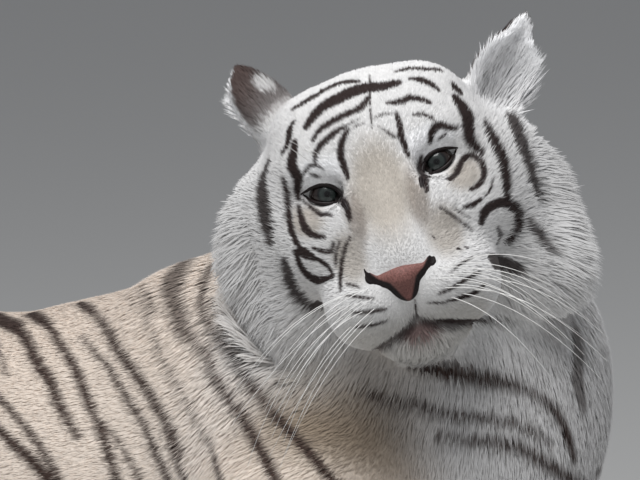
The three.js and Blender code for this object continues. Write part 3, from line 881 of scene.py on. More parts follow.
# ---------- the markings that the photo shows ----------
# Each has its widest, in millimetres, and its places in the photo's 640 by 480 frame.
HEAD_STRIPES = {
    "crown_right_1": (3.5, [(306, 84), (328, 76), (347, 72), (366, 70)]),
    "crown_right_2": (6, [(294, 109), (306, 102), (319, 94), (332, 87), (344, 83), (358, 82)]),
    "crown_right_3": (11, [
        (307, 126), (315, 115), (326, 105), (340, 98), (352, 92), (366, 88), (380, 87),
        (397, 83),
    ]),
    "crown_right_4": (6.5, [
        (313, 140), (319, 131), (328, 124), (339, 118), (352, 112), (363, 107), (368, 97),
    ]),
    "crown_right_5": (2.5, [(349, 114), (356, 108), (366, 100)]),
    "crown_right_6": (6.5, [
        (315, 161), (316, 152), (322, 144), (331, 136), (338, 130), (345, 127),
    ]),
    "crown_right_7": (2, [(346, 126), (353, 122), (360, 119)]),
    "crown_middle": (2.5, [(368, 61), (370, 80), (370, 104), (372, 128)]),
    "forehead_right": (2, [(352, 129), (358, 125), (365, 123)]),
    "forehead_middle": (2.5, [(375, 118), (383, 114), (392, 114)]),
    "forehead_left": (2, [(378, 126), (384, 130), (389, 135)]),
    "arch_left_inner": (4, [(497, 227), (500, 235), (497, 243)]),
    "brow_right": (7.5, [(348, 130), (342, 142), (341, 158), (345, 168), (348, 178)]),
    "over_eye_right": (3.5, [(302, 177), (308, 167), (315, 164), (323, 169)]),
    "over_eye_right_spot": (4, [(311, 174), (319, 177)]),
    "temple_right_1": (5.5, [(294, 122), (289, 132), (289, 142), (283, 153)]),
    "temple_right_2": (10, [
        (295, 143), (293, 156), (292, 167), (298, 176), (297, 186), (298, 198),
    ]),
    "temple_right_3": (6.5, [
        (284, 178), (287, 192), (288, 207), (291, 228), (297, 243), (304, 252),
    ]),
    "ruff_right": (13, [(270, 165), (265, 182), (266, 200), (268, 218), (271, 238)]),
    "under_eye_right": (4.5, [(303, 200), (311, 207), (320, 214), (332, 216)]),
    "cheek_right_1": (7, [(298, 206), (301, 218), (306, 229), (315, 236), (325, 237)]),
    "cheek_right_2": (5, [(313, 248), (324, 251), (331, 252), (334, 243)]),
    "cheek_right_3": (3, [(340, 240), (336, 254), (336, 267)]),
    "cheek_right_4": (4, [(350, 237), (344, 252), (341, 271), (341, 291)]),
    "loop_right_start": (10, [(295, 252), (306, 253), (314, 257)]),
    "loop_right_upper": (4.5, [(312, 256), (323, 262), (331, 270), (333, 278)]),
    "loop_right_lower": (7, [(297, 256), (303, 269), (312, 278), (322, 280), (334, 276)]),
    "jowl_right": (11.5, [(286, 262), (292, 281), (301, 298), (312, 307), (324, 303)]),
    "pad_right_1": (3, [(346, 284), (352, 285), (360, 288)]),
    "pad_right_2": (3.5, [(346, 296), (358, 297), (374, 299)]),
    "pad_right_3": (4, [(353, 313), (368, 312), (386, 309)]),
    "pad_right_4": (3, [(356, 327), (371, 325), (386, 321)]),
    "lip_left": (5.5, [(436, 319), (455, 320), (478, 321), (500, 321), (514, 317)]),
    "philtrum": (2.4, [(415, 300), (416, 309), (417, 318)]),
    "duct_right": (8, [(337, 190), (343, 199), (347, 208), (350, 219)]),
    "crown_left_1": (2.5, [(392, 61), (414, 60), (437, 63)]),
    "crown_left_2": (4.5, [(396, 72), (412, 69), (428, 70), (442, 71), (455, 71)]),
    "crown_left_3": (6, [(411, 79), (420, 80), (430, 84), (438, 90)]),
    "crown_left_4": (6.5, [(388, 103), (400, 102), (409, 98), (419, 99), (430, 103)]),
    "crown_left_5": (4, [(413, 115), (423, 114), (430, 117), (437, 124)]),
    "brow_middle": (7, [(396, 113), (400, 126), (401, 136), (404, 144), (408, 156)]),
    "brow_branch": (3, [(386, 131), (393, 136), (400, 139)]),
    "brow_left": (8, [(430, 142), (432, 130), (440, 125), (448, 127), (456, 128)]),
    "brow_left_inner": (3, [(438, 140), (446, 133)]),
    "temple_left_spot": (8, [(454, 86), (459, 94)]),
    "temple_left_1": (11, [(456, 99), (462, 108), (467, 121), (468, 134), (473, 144), (481, 152)]),
    "temple_left_2": (9.5, [
        (483, 125), (491, 139), (498, 152), (503, 166), (505, 180), (507, 203),
    ]),
    "ruff_left": (14, [(510, 120), (518, 140), (524, 157), (529, 176), (535, 190), (543, 200)]),
    "eye_left_hook": (6.5, [
        (449, 180), (457, 173), (461, 163), (467, 156), (474, 156), (482, 163), (484, 174),
        (480, 184), (470, 190),
    ]),
    "cheek_left_1": (6, [(464, 207), (473, 205), (481, 199)]),
    "cheek_left_2": (2.5, [(493, 178), (490, 190), (483, 198)]),
    "arch_left": (10, [
        (481, 222), (484, 212), (493, 205), (504, 202), (513, 207), (518, 218), (516, 231),
        (508, 240),
    ]),
    "jowl_left": (9, [(527, 220), (538, 234), (546, 244), (554, 256)]),
    "cheek_left_3": (3.5, [(439, 207), (449, 213), (460, 221), (472, 230)]),
    "cheek_left_4": (2.5, [(453, 206), (463, 214), (470, 218)]),
    "whisker_shade_left": (15, [(492, 262), (507, 266), (524, 270)]),
    "pad_left_1": (3, [(451, 273), (460, 265), (473, 257)]),
    "pad_left_2": (4, [(439, 294), (452, 288), (463, 281), (480, 272)]),
    "pad_left_3": (4, [(447, 301), (461, 297), (474, 293), (484, 285)]),
    "pad_left_4": (2.5, [(428, 303), (446, 302)]),
    "dot_left_1": (3, [(432, 236), (434, 238)]),
    "dot_left_2": (3, [(458, 249), (460, 250)]),
    "dot_left_3": (3, [(466, 247), (467, 249)]),
    "duct_left": (8, [(421, 158), (422, 168), (424, 179), (427, 191)]),
}
BODY_STRIPES = {
    "throat_1": (15, [(412, 368), (440, 373), (470, 378), (499, 383), (520, 389)]),
    "throat_1_end": (8, [(499, 383), (523, 391), (545, 404), (558, 420), (566, 440), (572, 462)]),
    "throat_2": (8.5, [
        (362, 392), (388, 402), (418, 407), (446, 415), (474, 419), (498, 422), (520, 427),
        (538, 436), (549, 445),
    ]),
    "throat_3": (10.5, [
        (438, 437), (464, 442), (492, 444), (516, 448), (535, 459), (553, 471), (568, 480),
    ]),
    # A faint brown mark with painted shadow of the fold between the neck and the far shoulder.
    "neck_left_shade": (11, [(572, 330), (577, 350), (575, 370), (576, 388), (581, 409)]),
    "neck_left_low": (5, [(592, 475), (606, 458)]),
    "neck_right_1": (9, [
        (214, 266), (206, 281), (203, 306), (207, 324), (218, 341), (233, 360), (249, 383),
        (266, 406), (292, 435), (326, 474),
    ]),
    "neck_right_twin": (6, [(214, 300), (222, 322), (231, 340), (242, 362)]),
    "neck_right_2_top": (17, [
        (187, 264), (176, 278), (174, 297), (179, 314), (184, 331), (196, 344),
    ]),
    "neck_right_2": (10, [
        (184, 328), (196, 344), (207, 357), (213, 376), (223, 393), (238, 413), (251, 434),
        (268, 466),
    ]),
    "shoulder_1": (4, [
        (128, 295), (143, 315), (155, 337), (162, 358), (174, 378), (187, 403), (200, 427),
        (211, 450), (218, 474),
    ]),
    "shoulder_2": (6.5, [(139, 289), (148, 300), (155, 318)]),
    "shoulder_3": (9, [
        (79, 304), (93, 313), (108, 331), (120, 353), (135, 373), (150, 395), (161, 414),
        (173, 433), (182, 456),
    ]),
    "shoulder_4": (5, [(164, 428), (174, 455), (184, 480)]),
    "flank_1": (7, [
        (82, 337), (94, 353), (107, 366), (118, 384), (130, 403), (143, 424), (152, 445),
        (164, 471),
    ]),
    "flank_2": (9, [
        (0, 306), (26, 312), (48, 326), (59, 343), (72, 363), (82, 386), (90, 406),
        (100, 428), (108, 453), (116, 480),
    ]),
    "flank_2_fork": (5.5, [(98, 420), (116, 439), (127, 458), (138, 478)]),
    "flank_3": (11.5, [
        (0, 319), (17, 329), (28, 344), (38, 365), (50, 381), (58, 403), (69, 423),
        (78, 438),
    ]),
    "flank_4": (4.5, [(0, 357), (7, 377)]),
    "flank_5": (7.5, [(0, 399), (15, 416), (30, 434), (45, 455), (59, 480)]),
    "flank_6": (11, [(0, 431), (15, 446), (32, 461), (48, 480)]),
}
FAINT = {  # how dark the ones are that white hairs cross
    "neck_right_2_top": 0.8,
    # neck_left_shade is partly painted shadow of a fold.
    "neck_left_shade": 0.68,
    "shoulder_1": 0.92,
    "shoulder_2": 0.85,
    "ruff_right": 0.95,
    "jowl_right": 0.94,
    "ruff_left": 0.94,
    "jowl_left": 0.94,
    "whisker_shade_left": 0.93,
    "arch_left_inner": 0.85,
}
STRIPE_STEP = 7.0  # pixels between the places where a stripe is laid
STRIPE_BLUNT = 0.45  # 0 for even, 1 for a lens
HEAD_WIDEN, BODY_WIDEN = 1.02, 1.12  # the coat's edges hide this much of a stripe
MOST_STRETCH = 1.9  # of a stripe's width, where the skin turns away from the camera
PAST_FRAME = 46.0  # how far a curve that leaves the frame goes on in each step
FRAME_BOTTOM, FRAME_LEFT = 465, 3  # pixels; a curve that comes past these leaves the frame
VIEW_EDGE = 8  # pixels
SAME_PLACE = 18.0  # a ray that ends this near a place has met it
FEWEST_POINTS = 3


class Stripe:
    """A dark line on the skin, with its half width along it and how dark it is."""

    def __init__(self, points, half_widths, strength=1.0):
        self.points, self.half_widths = np.array(points), np.array(half_widths)
        self.strength = strength


def tapered(widest, count):
    """Half widths that are widest near the middle."""
    return widest / 2 * np.sin(np.pi * np.linspace(0.1, 0.9, count)) ** STRIPE_BLUNT


def past_frame(places):
    """The places, going on beyond the frame where the curve runs out of it."""
    places = [np.array(p, float) for p in places]
    if places[-1][1] > FRAME_BOTTOM:
        step = unit(places[-1] - places[-2]) * PAST_FRAME
        for turned in (0.9, 0.8, 0.65):
            step = step * [turned, 1]
            places.append(places[-1] + step)
    if places[0][0] < FRAME_LEFT:
        places.insert(0, places[0] - unit(places[1] - places[0]) * PAST_FRAME)
    return [tuple(p) for p in places]


def seen_stripe(widest, places, strength):
    """A stripe through places of the photo's frame, laid on the skin behind them."""
    length = np.linalg.norm(np.diff(np.array(places, float), axis=0), axis=1).sum()
    count = max(3, int(length / STRIPE_STEP) + 1)
    line = smooth_line(places, count) if len(places) > 2 else np.linspace(*places, count)
    along = unit(np.gradient(line, axis=0))
    points, widths = [], []
    for (x, y), (dx, dy), width in zip(line, along, tapered(widest, count)):
        hit, normal = hit_and_normal(CAMERA_AT, unit(aim_at(x, y) - CAMERA_AT))
        if hit is None:
            continue
        across = CAMERA_RIGHT * dy + CAMERA_UP * dx
        slope = (normal @ across) / max(abs(normal @ CAMERA_BACK), 0.05)
        points.append(hit)
        widths.append(width * min(math.hypot(1, slope), MOST_STRETCH))
    return Stripe(points, widths, strength) if len(points) > 1 else None


def in_view(point):
    """Whether the photo's frame shows this place of the skin."""
    d = point - CAMERA_AIM
    scale = CAMERA_AWAY / (CAMERA_AWAY - d @ CAMERA_BACK) * PHOTO_WIDTH / VIEW_WIDTH
    x, y = PHOTO_WIDTH / 2 + d @ CAMERA_RIGHT * scale, PHOTO_HEIGHT / 2 - d @ CAMERA_UP * scale
    across = -VIEW_EDGE < x < PHOTO_WIDTH + VIEW_EDGE
    if not (across and -VIEW_EDGE < y < PHOTO_HEIGHT + VIEW_EDGE):
        return False
    hit = first_hit(CAMERA_AT, unit(point - CAMERA_AT))
    return hit is not None and np.linalg.norm(hit - point) < SAME_PLACE


def longest(stripe, kept):
    """The longest unbroken stretch of a stripe; kept(points) says which of its points stay."""
    if stripe is None:
        return None
    best, start = (0, 0), 0
    for i, ok in enumerate([*kept(stripe.points), False]):
        if not ok:
            best = max(best, (i - start, start))
            start = i + 1
    count, start = best
    if count < FEWEST_POINTS:
        return None
    whole = count == len(stripe.points)
    widths = stripe.half_widths if whole else tapered(2 * stripe.half_widths.max(), count)
    return Stripe(stripe.points[start : start + count], widths)


def unseen(stripe):
    """What of an invented stripe is out of the photo's view."""
    return longest(stripe, lambda points: [not in_view(p) for p in points])


def kept_on(stripe, *parts):
    """What of a stripe is on parts whose names start so."""

    def on_parts(points):
        return [PART_NAMES[i].startswith(parts) for i in part_distances(points).argmin(axis=0)]

    return longest(stripe, on_parts)


STRIPE_GAP = 20.0


def clear_of(stripe, drawn):
    """What of an invented stripe keeps off the ones the photo shows."""

    def clear(points):
        return [np.linalg.norm(drawn - p, axis=1).min() > STRIPE_GAP for p in points]

    return longest(stripe, clear)


def round_bone(at, along, up, angles, slides, widest):
    """A stripe round a bone: angles from up, in degrees, each slid some way along the bone."""
    across = np.cross(along, up)
    hits = []
    for angle, slide in zip(np.radians(angles), slides):
        out = up * math.cos(angle) + across * math.sin(angle)
        hits.append(first_hit(at + along * slide + out * 700, -out))
    widths = tapered(widest, len(hits))
    kept = [(hit, w) for hit, w in zip(hits, widths) if hit is not None]
    return Stripe([h for h, _ in kept], [w for _, w in kept]) if len(kept) > 1 else None


UP = np.array([0.0, 0, 1])
BACK = np.array([-1.0, 0, 0])
SPINE_HEIGHT = 240.0  # of the axis that bands go round
BANDS_FROM, BANDS_TO = -262, -930
BAND_POINTS = 16
TWIN_POINTS = 9
TRUNK_PARTS = ("barrel", "rump", "thigh", "chest", "neck", "upper_arm")


def trunk_stripes(rng):
    """Bands down both flanks and the rump, behind those that the photo shows."""
    made = []
    shares = np.linspace(0, 1, BAND_POINTS)
    for side in SIDES.values():
        x = BANDS_FROM
        while x > BANDS_TO:
            toward_rump = ramp(-450, -800, x)
            lean_over = mix(-150, 40, toward_rump) * rng.uniform(0.8, 1.2)
            start = rng.uniform(3, 18)
            stop = mix(rng.uniform(88, 118), rng.uniform(70, 96), toward_rump)
            angles = side * np.linspace(start, stop, BAND_POINTS)
            height = rng.uniform(5, 11)
            wave = np.sin(np.linspace(0, rng.uniform(3, 6), BAND_POINTS) + rng.uniform(0, 6))
            slides = lean_over * shares**1.3 + height * wave
            at = np.array([x, 0, SPINE_HEIGHT])
            widest = rng.uniform(9, 16)
            made.append(kept_on(round_bone(at, BACK, UP, angles, slides, widest), *TRUNK_PARTS))
            if rng.random() < 0.5:
                half = side * np.linspace(mix(start, stop, 0.4), stop, TWIN_POINTS)
                apart = np.linspace(1, rng.uniform(13, 20), TWIN_POINTS)
                beside = slides[6 : 6 + TWIN_POINTS] + apart
                twin = round_bone(at, BACK, UP, half, beside, widest * 0.6)
                made.append(kept_on(twin, *TRUNK_PARTS))
            x -= rng.uniform(40, 58)
    return made


def other_side(seen):
    """The photo's stripes of the right flank and shoulder, laid on the left one."""
    made = []
    for stripe in seen:
        line = smooth_line(stripe.points, max(8, len(stripe.points)))
        wave = 7 * np.sin(np.linspace(0, 4, len(line)) + line[0, 0])
        hits = [first_hit([x + w, 700, z], [0, -1, 0]) for (x, _, z), w in zip(line, wave)]
        widest = min(1.5 * stripe.half_widths.max(), 11)
        kept = [h for h in hits if h is not None]
        if len(kept) > 2:
            made.append(kept_on(Stripe(kept, tapered(widest, len(kept))), *TRUNK_PARTS))
    return made


def spine_marks(rng):
    """Short bars over the spine, between the bands."""
    made = []
    for x in np.arange(-330, -920, -64.0):
        reach = rng.uniform(14, 30)
        at = np.array([x + rng.uniform(-8, 8), 0, SPINE_HEIGHT])
        angles = np.linspace(-reach, reach, 7)
        made.append(round_bone(at, BACK, UP, angles, np.abs(angles) * -0.5, rng.uniform(6, 10)))
    return made


def bone_bars(part, a, b, shares, reach, widest, outer, rng):
    """Bars round a leg's bone, on the side that faces outer."""
    along = unit(b - a)
    up = unit(outer - along * (outer @ along))
    made = []
    for share in shares:
        angles = np.linspace(-reach, reach, 11) + rng.uniform(-10, 10)
        slides = rng.uniform(4, 9) * np.sin(np.linspace(0, 3, 11) + rng.uniform(0, 3))
        bar = round_bone(mix(a, b, share), along, up, angles, slides, widest * rng.uniform(0.75, 1.2))
        made.append(kept_on(bar, part))
    return made


# The bars of each bone: where along it, degrees either way, how wide, and which way they face (out, up).
BARS = [
    ("shank_", KNEE, HOCK, (0.3, 0.44, 0.58, 0.72, 0.86), 62, 12, (1, 1)),
    ("hind_foot_", HOCK, HIND_TOES, (0.16, 0.34, 0.5), 50, 9, (1, 1)),
    ("forearm_", ELBOW, WRIST, (0.3, 0.46, 0.62, 0.78), 62, 10, (-0.4, 1)),
    ("forearm_", ELBOW, WRIST, (0.2, 0.38, 0.55), 34, 8, (1, 0.5)),
    ("upper_arm_", SHOULDER, ELBOW, (0.55, 0.8), 40, 9, (1, 0.3)),
]


def leg_stripes(rng):
    made = []
    for name, s in SIDES.items():
        for part, a, b, shares, reach, widest, (out, up) in BARS:
            a, b, outer = mirrored(a, s), mirrored(b, s), np.array([0.0, s * out, up])
            made += bone_bars(part + name, a, b, shares, reach, widest, outer, rng)
    return made


def tail_stripes():
    """Rings along the tail, evenly spaced; the one at the tip is much wider, so the tip is darker."""
    made = []
    steps = unit(np.gradient(TAIL_LINE, axis=0))
    for i, share in enumerate(np.linspace(0.08, 0.97, 13)):
        at = int(share * (len(TAIL_LINE) - 1))
        up = unit(UP - steps[at] * (UP @ steps[at]))
        across = np.cross(steps[at], up)
        radius = TAIL_RADIUS[at]
        reach = np.linspace(0, 2 * np.pi, 15)
        points = [TAIL_LINE[at] + radius * (up * math.cos(a) + across * math.sin(a)) for a in reach]
        width = 11 + 3 * math.sin(2.4 * i) + (14 if share > 0.93 else 0)
        made.append(Stripe(points, np.full(len(points), width / 2)))
    return made


NECK_AXIS = unit(np.array([120.0, 12, 226]))
NECK_MIDDLE = np.array([60.0, 8, 500])
NECK_BEHIND = BACK + [0, 0.35, 0]
NAPE_BANDS = [(124, 52), (86, 60), (46, 64), (4, 58)]  # along the neck, and how far round
HEAD_BACK_BANDS = [(88, 62), (58, 84), (26, 92), (-8, 88)]  # up in the head's frame, and how wide


def nape_stripes(rng):
    """Bands over the nape and over the back of the head."""
    made = []
    behind = unit(NECK_BEHIND - NECK_AXIS * (NECK_BEHIND @ NECK_AXIS))
    for along, reach in NAPE_BANDS:
        angles = np.linspace(-reach, reach, 14)
        slides = along - 0.45 * np.abs(angles) + 6 * np.sin(np.linspace(0, 5, 14) + rng.uniform(0, 6))
        made.append(round_bone(NECK_MIDDLE, NECK_AXIS, behind, angles, slides, rng.uniform(9, 13)))
    for up, wide in HEAD_BACK_BANDS:
        left = np.linspace(-wide, wide, 12)
        bend = up - 14 * (left / wide) ** 2 + 3 * np.sin(left / 17)
        hits = [first_hit(from_head([-420, l, u]), HEAD_AXES[:, 0]) for l, u in zip(left, bend)]
        kept = [hit for hit in hits if hit is not None]
        made.append(kept_on(Stripe(kept, tapered(rng.uniform(7, 10), len(kept))), "head", "neck"))
    return made


def all_stripes():
    rng = np.random.default_rng(STRIPE_SEED)
    dark = lambda name: FAINT.get(name, 1.0)
    head = [seen_stripe(w * HEAD_WIDEN, p, dark(name)) for name, (w, p) in HEAD_STRIPES.items()]
    body = {
        name: seen_stripe(w * BODY_WIDEN, past_frame(p), dark(name))
        for name, (w, p) in BODY_STRIPES.items()
    }
    front = ("throat", "neck_left")
    flank = [stripe for name, stripe in body.items() if stripe and not name.startswith(front)]
    invented = [*other_side(flank)]
    for make in (trunk_stripes, spine_marks, leg_stripes, nape_stripes):
        invented += make(rng)
    drawn = np.vstack([stripe.points for stripe in body.values() if stripe])
    invented = [clear_of(unseen(stripe), drawn) for stripe in invented]
    kept = [*head, *body.values(), *invented, *tail_stripes()]
    return [stripe for stripe in kept if stripe is not None]


STRIPE_SEED, COAT_SEED, WHISKER_SEED = 11, 7, 5
STRIPES = all_stripes()
THROUGH_COAT = 45.0  # a stripe marks the coat this far over it
HEIGHT_HIDDEN = 0.85  # how little a height over the skin counts
SKIN_EDGE = 2.5  # how soft a stripe's edge is on the skin


def darkness(points, normals, soft):
    """From 0 to 1, how much of a stripe is at each point; heights over the skin hardly count."""
    dark = np.zeros(len(points))
    for stripe in STRIPES:
        reach = stripe.half_widths.max() + soft + 6
        low, high = stripe.points.min(axis=0) - reach, stripe.points.max(axis=0) + reach
        near = np.flatnonzero(((points > low) & (points < high)).all(axis=1))
        if not len(near):
            continue
        p, n = points[near], normals[near]
        best = np.full(len(near), -1e3)
        line, half = stripe.points, stripe.half_widths
        for a, b, wa, wb in zip(line, line[1:], half, half[1:]):
            step = b - a
            t = np.clip(((p - a) @ step) / max(step @ step, 1e-6), 0, 1)
            away = p - a - t[:, None] * step
            through = (away * n).sum(axis=1)
            height2 = np.minimum(through * through, THROUGH_COAT**2)
            flat2 = (away * away).sum(axis=1) - HEIGHT_HIDDEN * height2
            best = np.maximum(best, mix(wa, wb, t) - np.sqrt(np.maximum(flat2, 0)))
        here = stripe.strength * ramp(-soft, soft, best)
        dark[near] = np.maximum(dark[near], here)
    return dark


def stripe_colour(on_head):
    """A stripe is browner on the body than on the head."""
    return mix(STRIPE_BROWN, STRIPE_BLACK, np.asarray(on_head, float)[:, None])


def settled(tint):
    """The tint with the body's regions run softly into each other, and the face's kept."""
    soft = averaged(tint, skin_faces, TINT_ROUNDS)
    kept = share_of("ear") + share_of("head") * ramp(-150, -60, to_head(skin_points)[:, 0])
    return mix(tint, soft, (1 - kept)[:, None])


skin_ground = settled(ground_tint(skin_points, skin_normals))
skin_dark = darkness(skin_points, skin_normals, SKIN_EDGE)
skin_tint = mix(skin_ground, stripe_colour(share_of("head", "ear")), skin_dark[:, None])


# ---------- materials ----------
# Each look: the noise's scale, how dark and how light it makes the tint, its bump in metres,
# the roughness and the sheen.
LOOKS = {
    "short_fur": (420, 0.86, 1.06, 0.0012, 0.85, 0.08),
    "fur": (160, 0.9, 1.06, 0, 0.85, 0.08),
    "lid_skin": (900, 0.8, 1.2, 0.0003, 0.42, 0.0),
    "nose_skin": (620, 0.62, 1.25, 0.0012, 0.55, 0.0),
    "whisker_hair": (300, 0.95, 1.02, 0, 0.4, 0.0),
    "claw_horn": (200, 0.85, 1.05, 0, 0.35, 0.0),
}
SPECULAR = 0.25
NOISE_DETAIL, BUMP_STRENGTH = 3.0, 0.5
NOISE_LOW, NOISE_HIGH = 0.3, 0.7  # most of the noise lies between these


def new_material(name, roughness, sheen=0.0, specular=0.5):
    """A procedural material, with its shader and its nodes."""
    material = bpy.data.materials.new(name)
    material.use_nodes = True
    tree = material.node_tree
    shader = tree.nodes["Principled BSDF"]
    shader.inputs["Roughness"].default_value = roughness
    shader.inputs["Sheen Weight"].default_value = sheen
    shader.inputs["Specular IOR Level"].default_value = specular
    return material, tree, shader


def noise(tree, scale):
    made = tree.nodes.new("ShaderNodeTexNoise")
    made.inputs["Scale"].default_value = scale
    made.inputs["Detail"].default_value = NOISE_DETAIL
    place = tree.nodes.new("ShaderNodeTexCoord")
    tree.links.new(place.outputs["Object"], made.inputs["Vector"])
    return made


def add_bump(tree, shader, height, distance):
    made = tree.nodes.new("ShaderNodeBump")
    made.inputs["Strength"].default_value = BUMP_STRENGTH
    made.inputs["Distance"].default_value = distance
    tree.links.new(height, made.inputs["Height"])
    tree.links.new(made.outputs["Normal"], shader.inputs["Normal"])


def tint_of(tree):
    """The colours that the mesh carries."""
    made = tree.nodes.new("ShaderNodeAttribute")
    made.attribute_name = "Tint"
    return made.outputs["Color"]


def tint_material(name):
    """The Tint of the mesh, a little darker and lighter from place to place, as LOOKS says."""
    scale, low, high, bump, roughness, sheen = LOOKS[name]
    material, tree, shader = new_material(name, roughness, sheen, SPECULAR)
    speckle = noise(tree, scale)
    spread = tree.nodes.new("ShaderNodeMapRange")
    ends = {"From Min": NOISE_LOW, "From Max": NOISE_HIGH, "To Min": low, "To Max": high}
    for socket, value in ends.items():
        spread.inputs[socket].default_value = value
    scaled = tree.nodes.new("ShaderNodeVectorMath")
    scaled.operation = "SCALE"
    tree.links.new(speckle.outputs["Fac"], spread.inputs["Value"])
    tree.links.new(tint_of(tree), scaled.inputs[0])
    tree.links.new(spread.outputs["Result"], scaled.inputs["Scale"])
    tree.links.new(scaled.outputs["Vector"], shader.inputs["Base Color"])
    if bump:
        add_bump(tree, shader, speckle.outputs["Fac"], bump)
    return material


COAT_LOOK = tint_material("fur")

skin = make_mesh("skin", skin_points, [skin_faces], skin_tint)
skin.data.materials.append(tint_material("short_fur"))
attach(skin, "root")
FLESH = [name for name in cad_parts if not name.startswith(("eye_", "nose"))]
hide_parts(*FLESH)


# ---------- eyes ----------
EYE_SIDES = 48


def ring_quads(rings, sides):
    """The quads between rings that lie one after another."""
    row, step = np.arange(rings - 1)[:, None] * sides, np.arange(sides)[None]
    nxt = (step + 1) % sides
    return np.stack([row + step, row + nxt, row + sides + nxt, row + sides + step], axis=2).reshape(-1, 4)


def ball_mesh(name, centre, axes, angles, tints):
    """A turned eyeball, with a ring of colour at each of some angles from the pupil, in degrees."""
    spin = np.linspace(0, 2 * np.pi, EYE_SIDES, endpoint=False)
    rings = []
    for a in np.radians(angles):
        flat = EYE_RADIUS * math.sin(a)
        forward = np.full(EYE_SIDES, EYE_RADIUS * math.cos(a))
        rings.append(np.stack([forward, flat * np.cos(spin), flat * np.sin(spin)], axis=1))
    points = centre + np.vstack(rings) @ axes.T
    colours = np.repeat(np.array(tints), EYE_SIDES, axis=0)
    return make_mesh(name, points, [ring_quads(len(rings), EYE_SIDES)[:, ::-1]], colours)


IRIS_RADIUS, PUPIL_RADIUS = 9.2, 3.1
IRIS_BLUE = linear(45, 52, 50)
IRIS_RIM = linear(14, 15, 15)
PUPIL_BLACK = linear(6, 6, 7)
EYE_WHITE = linear(38, 29, 26)
PUPIL_BROWN = linear(24, 27, 26)
EYE_BACK_ANGLES = (100, 130, 160, 178)


def gaze_axes(side):
    """The eye's axis looks at the camera."""
    forward = unit(CAMERA_AT - from_head(EYE_PLACE * [1, side, 1]))
    across = unit(np.cross(np.array([0.0, 0, 1]), forward))
    return np.stack([forward, across, np.cross(forward, across)], axis=1)


def eye_rings():
    """Angles and colours from the pupil's middle to the back of the ball."""
    degrees_of = lambda r: math.degrees(math.asin(r / EYE_RADIUS))
    stops = [
        (0.3, PUPIL_BLACK),
        (PUPIL_RADIUS - 0.2, PUPIL_BLACK),
        (PUPIL_RADIUS + 0.2, mix(IRIS_BLUE, PUPIL_BROWN, 0.5)),
        (PUPIL_RADIUS + 1.6, IRIS_BLUE * 0.9),
        (IRIS_RADIUS - 3.0, IRIS_BLUE * 1.12),
        (IRIS_RADIUS - 1.4, IRIS_BLUE * 0.8),
        (IRIS_RADIUS - 0.5, IRIS_RIM),
        (IRIS_RADIUS + 0.6, IRIS_RIM),
        (IRIS_RADIUS + 1.4, EYE_WHITE),
        (IRIS_RADIUS + 4.5, EYE_WHITE),
        # Darker toward the ball's edge and over its back: painted shade where the lids and the socket
        # cover the ball.
        (EYE_RADIUS * 0.99, EYE_WHITE * 0.6),
    ]
    angles = [*(degrees_of(r) for r, _ in stops), *EYE_BACK_ANGLES]
    return angles, [*(c for _, c in stops), *[EYE_WHITE * 0.5] * len(EYE_BACK_ANGLES)]


def eye_material():
    """The ball's colours under a clear coat."""
    material, tree, shader = new_material("eye_ball", 0.25, 0, SPECULAR)
    shader.inputs["Coat Weight"].default_value = 0.6
    shader.inputs["Coat Roughness"].default_value = 0.03
    tree.links.new(tint_of(tree), shader.inputs["Base Color"])
    return material


EYE_LOOK = eye_material()
for name, s in SIDES.items():
    eye = ball_mesh("eyeball_" + name, from_head(EYE_PLACE * [1, s, 1]), gaze_axes(s), *eye_rings())
    eye.data.materials.append(EYE_LOOK)
    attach(eye, "root")
    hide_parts("eye_" + name)


# ---------- tubes: lids, whiskers ----------
def tube(points, radii, sides):
    """Vertices and quads of a tapering tube, open at its ends."""
    points, radii = np.asarray(points, float), np.asarray(radii, float)
    along = unit(np.gradient(points, axis=0))
    across = unit(np.cross(along, [0.31, 0.17, 0.93]))
    other = np.cross(along, across)
    spin = np.linspace(0, 2 * np.pi, sides, endpoint=False)
    ring = across[:, None] * np.cos(spin)[None, :, None] + other[:, None] * np.sin(spin)[None, :, None]
    vertices = (points[:, None] + ring * radii[:, None, None]).reshape(-1, 3)
    return vertices, ring_quads(len(points), sides)


def gathered(meshes):
    """Several (vertices, faces) as one."""
    start, points, faces = 0, [], []
    for v, f in meshes:
        points.append(v)
        faces.append(f + start)
        start += len(v)
    return np.vstack(points), np.vstack(faces)


# The lids' edge, (outward, up) from the eye, ending in the duct at the inner corner.
LID_UPPER = [(25, 7), (20, 8.5), (11, 10.6), (0, 9.8), (-8, 6), (-13.5, -1), (-17, -11), (-19.5, -23)]
LID_LOWER = [(23, 6.5), (18, -0.2), (11, -5.8), (0, -9.8), (-8, -11), (-13, -13), (-18.5, -23)]
# Their radius at shares of their length.
UPPER_RADII = [0, 0.12, 0.5, 0.72, 0.86, 1], [0.7, 2.0, 2.5, 2.6, 2.6, 0.9]
LOWER_RADII = [0, 0.12, 0.5, 0.75, 1], [0.7, 1.4, 1.7, 2.2, 0.7]
RIM_STEPS, RIM_SIDES = 28, 8
RIM_OVER = 1.6  # over the ball, at least
RIM_MOST = 3.0  # and at most
RIM_BARE = 0.9  # how far from a rim hair starts
LID_RIM = linear(30, 22, 22)


def lid_rim(side, places, radii):
    """The dark edge of a lid, on the eyeball or, beyond it, on the face."""
    line = smooth_line(places, RIM_STEPS)
    out, up = line[:, 0] * side, line[:, 1]
    ball_x = np.sqrt(np.maximum((EYE_RADIUS + RIM_OVER) ** 2 - out**2 - up**2, 0))
    forward = []
    for o, u, bx in zip(out, up, ball_x):
        hit = first_hit(from_head([90, EYE_PLACE[1] * side + o, u]), -HEAD_AXES[:, 0])
        hx = to_head(hit)[0] if hit is not None else 0
        over = max(EYE_PLACE[0] + bx, min(hx, EYE_PLACE[0] + EYE_RADIUS + RIM_MOST))
        forward.append(over if bx > 1 else hx)
    points = from_head(np.stack([forward, EYE_PLACE[1] * side + out, up], axis=1))
    return tube(points, np.interp(np.linspace(0, 1, RIM_STEPS), *radii), RIM_SIDES)


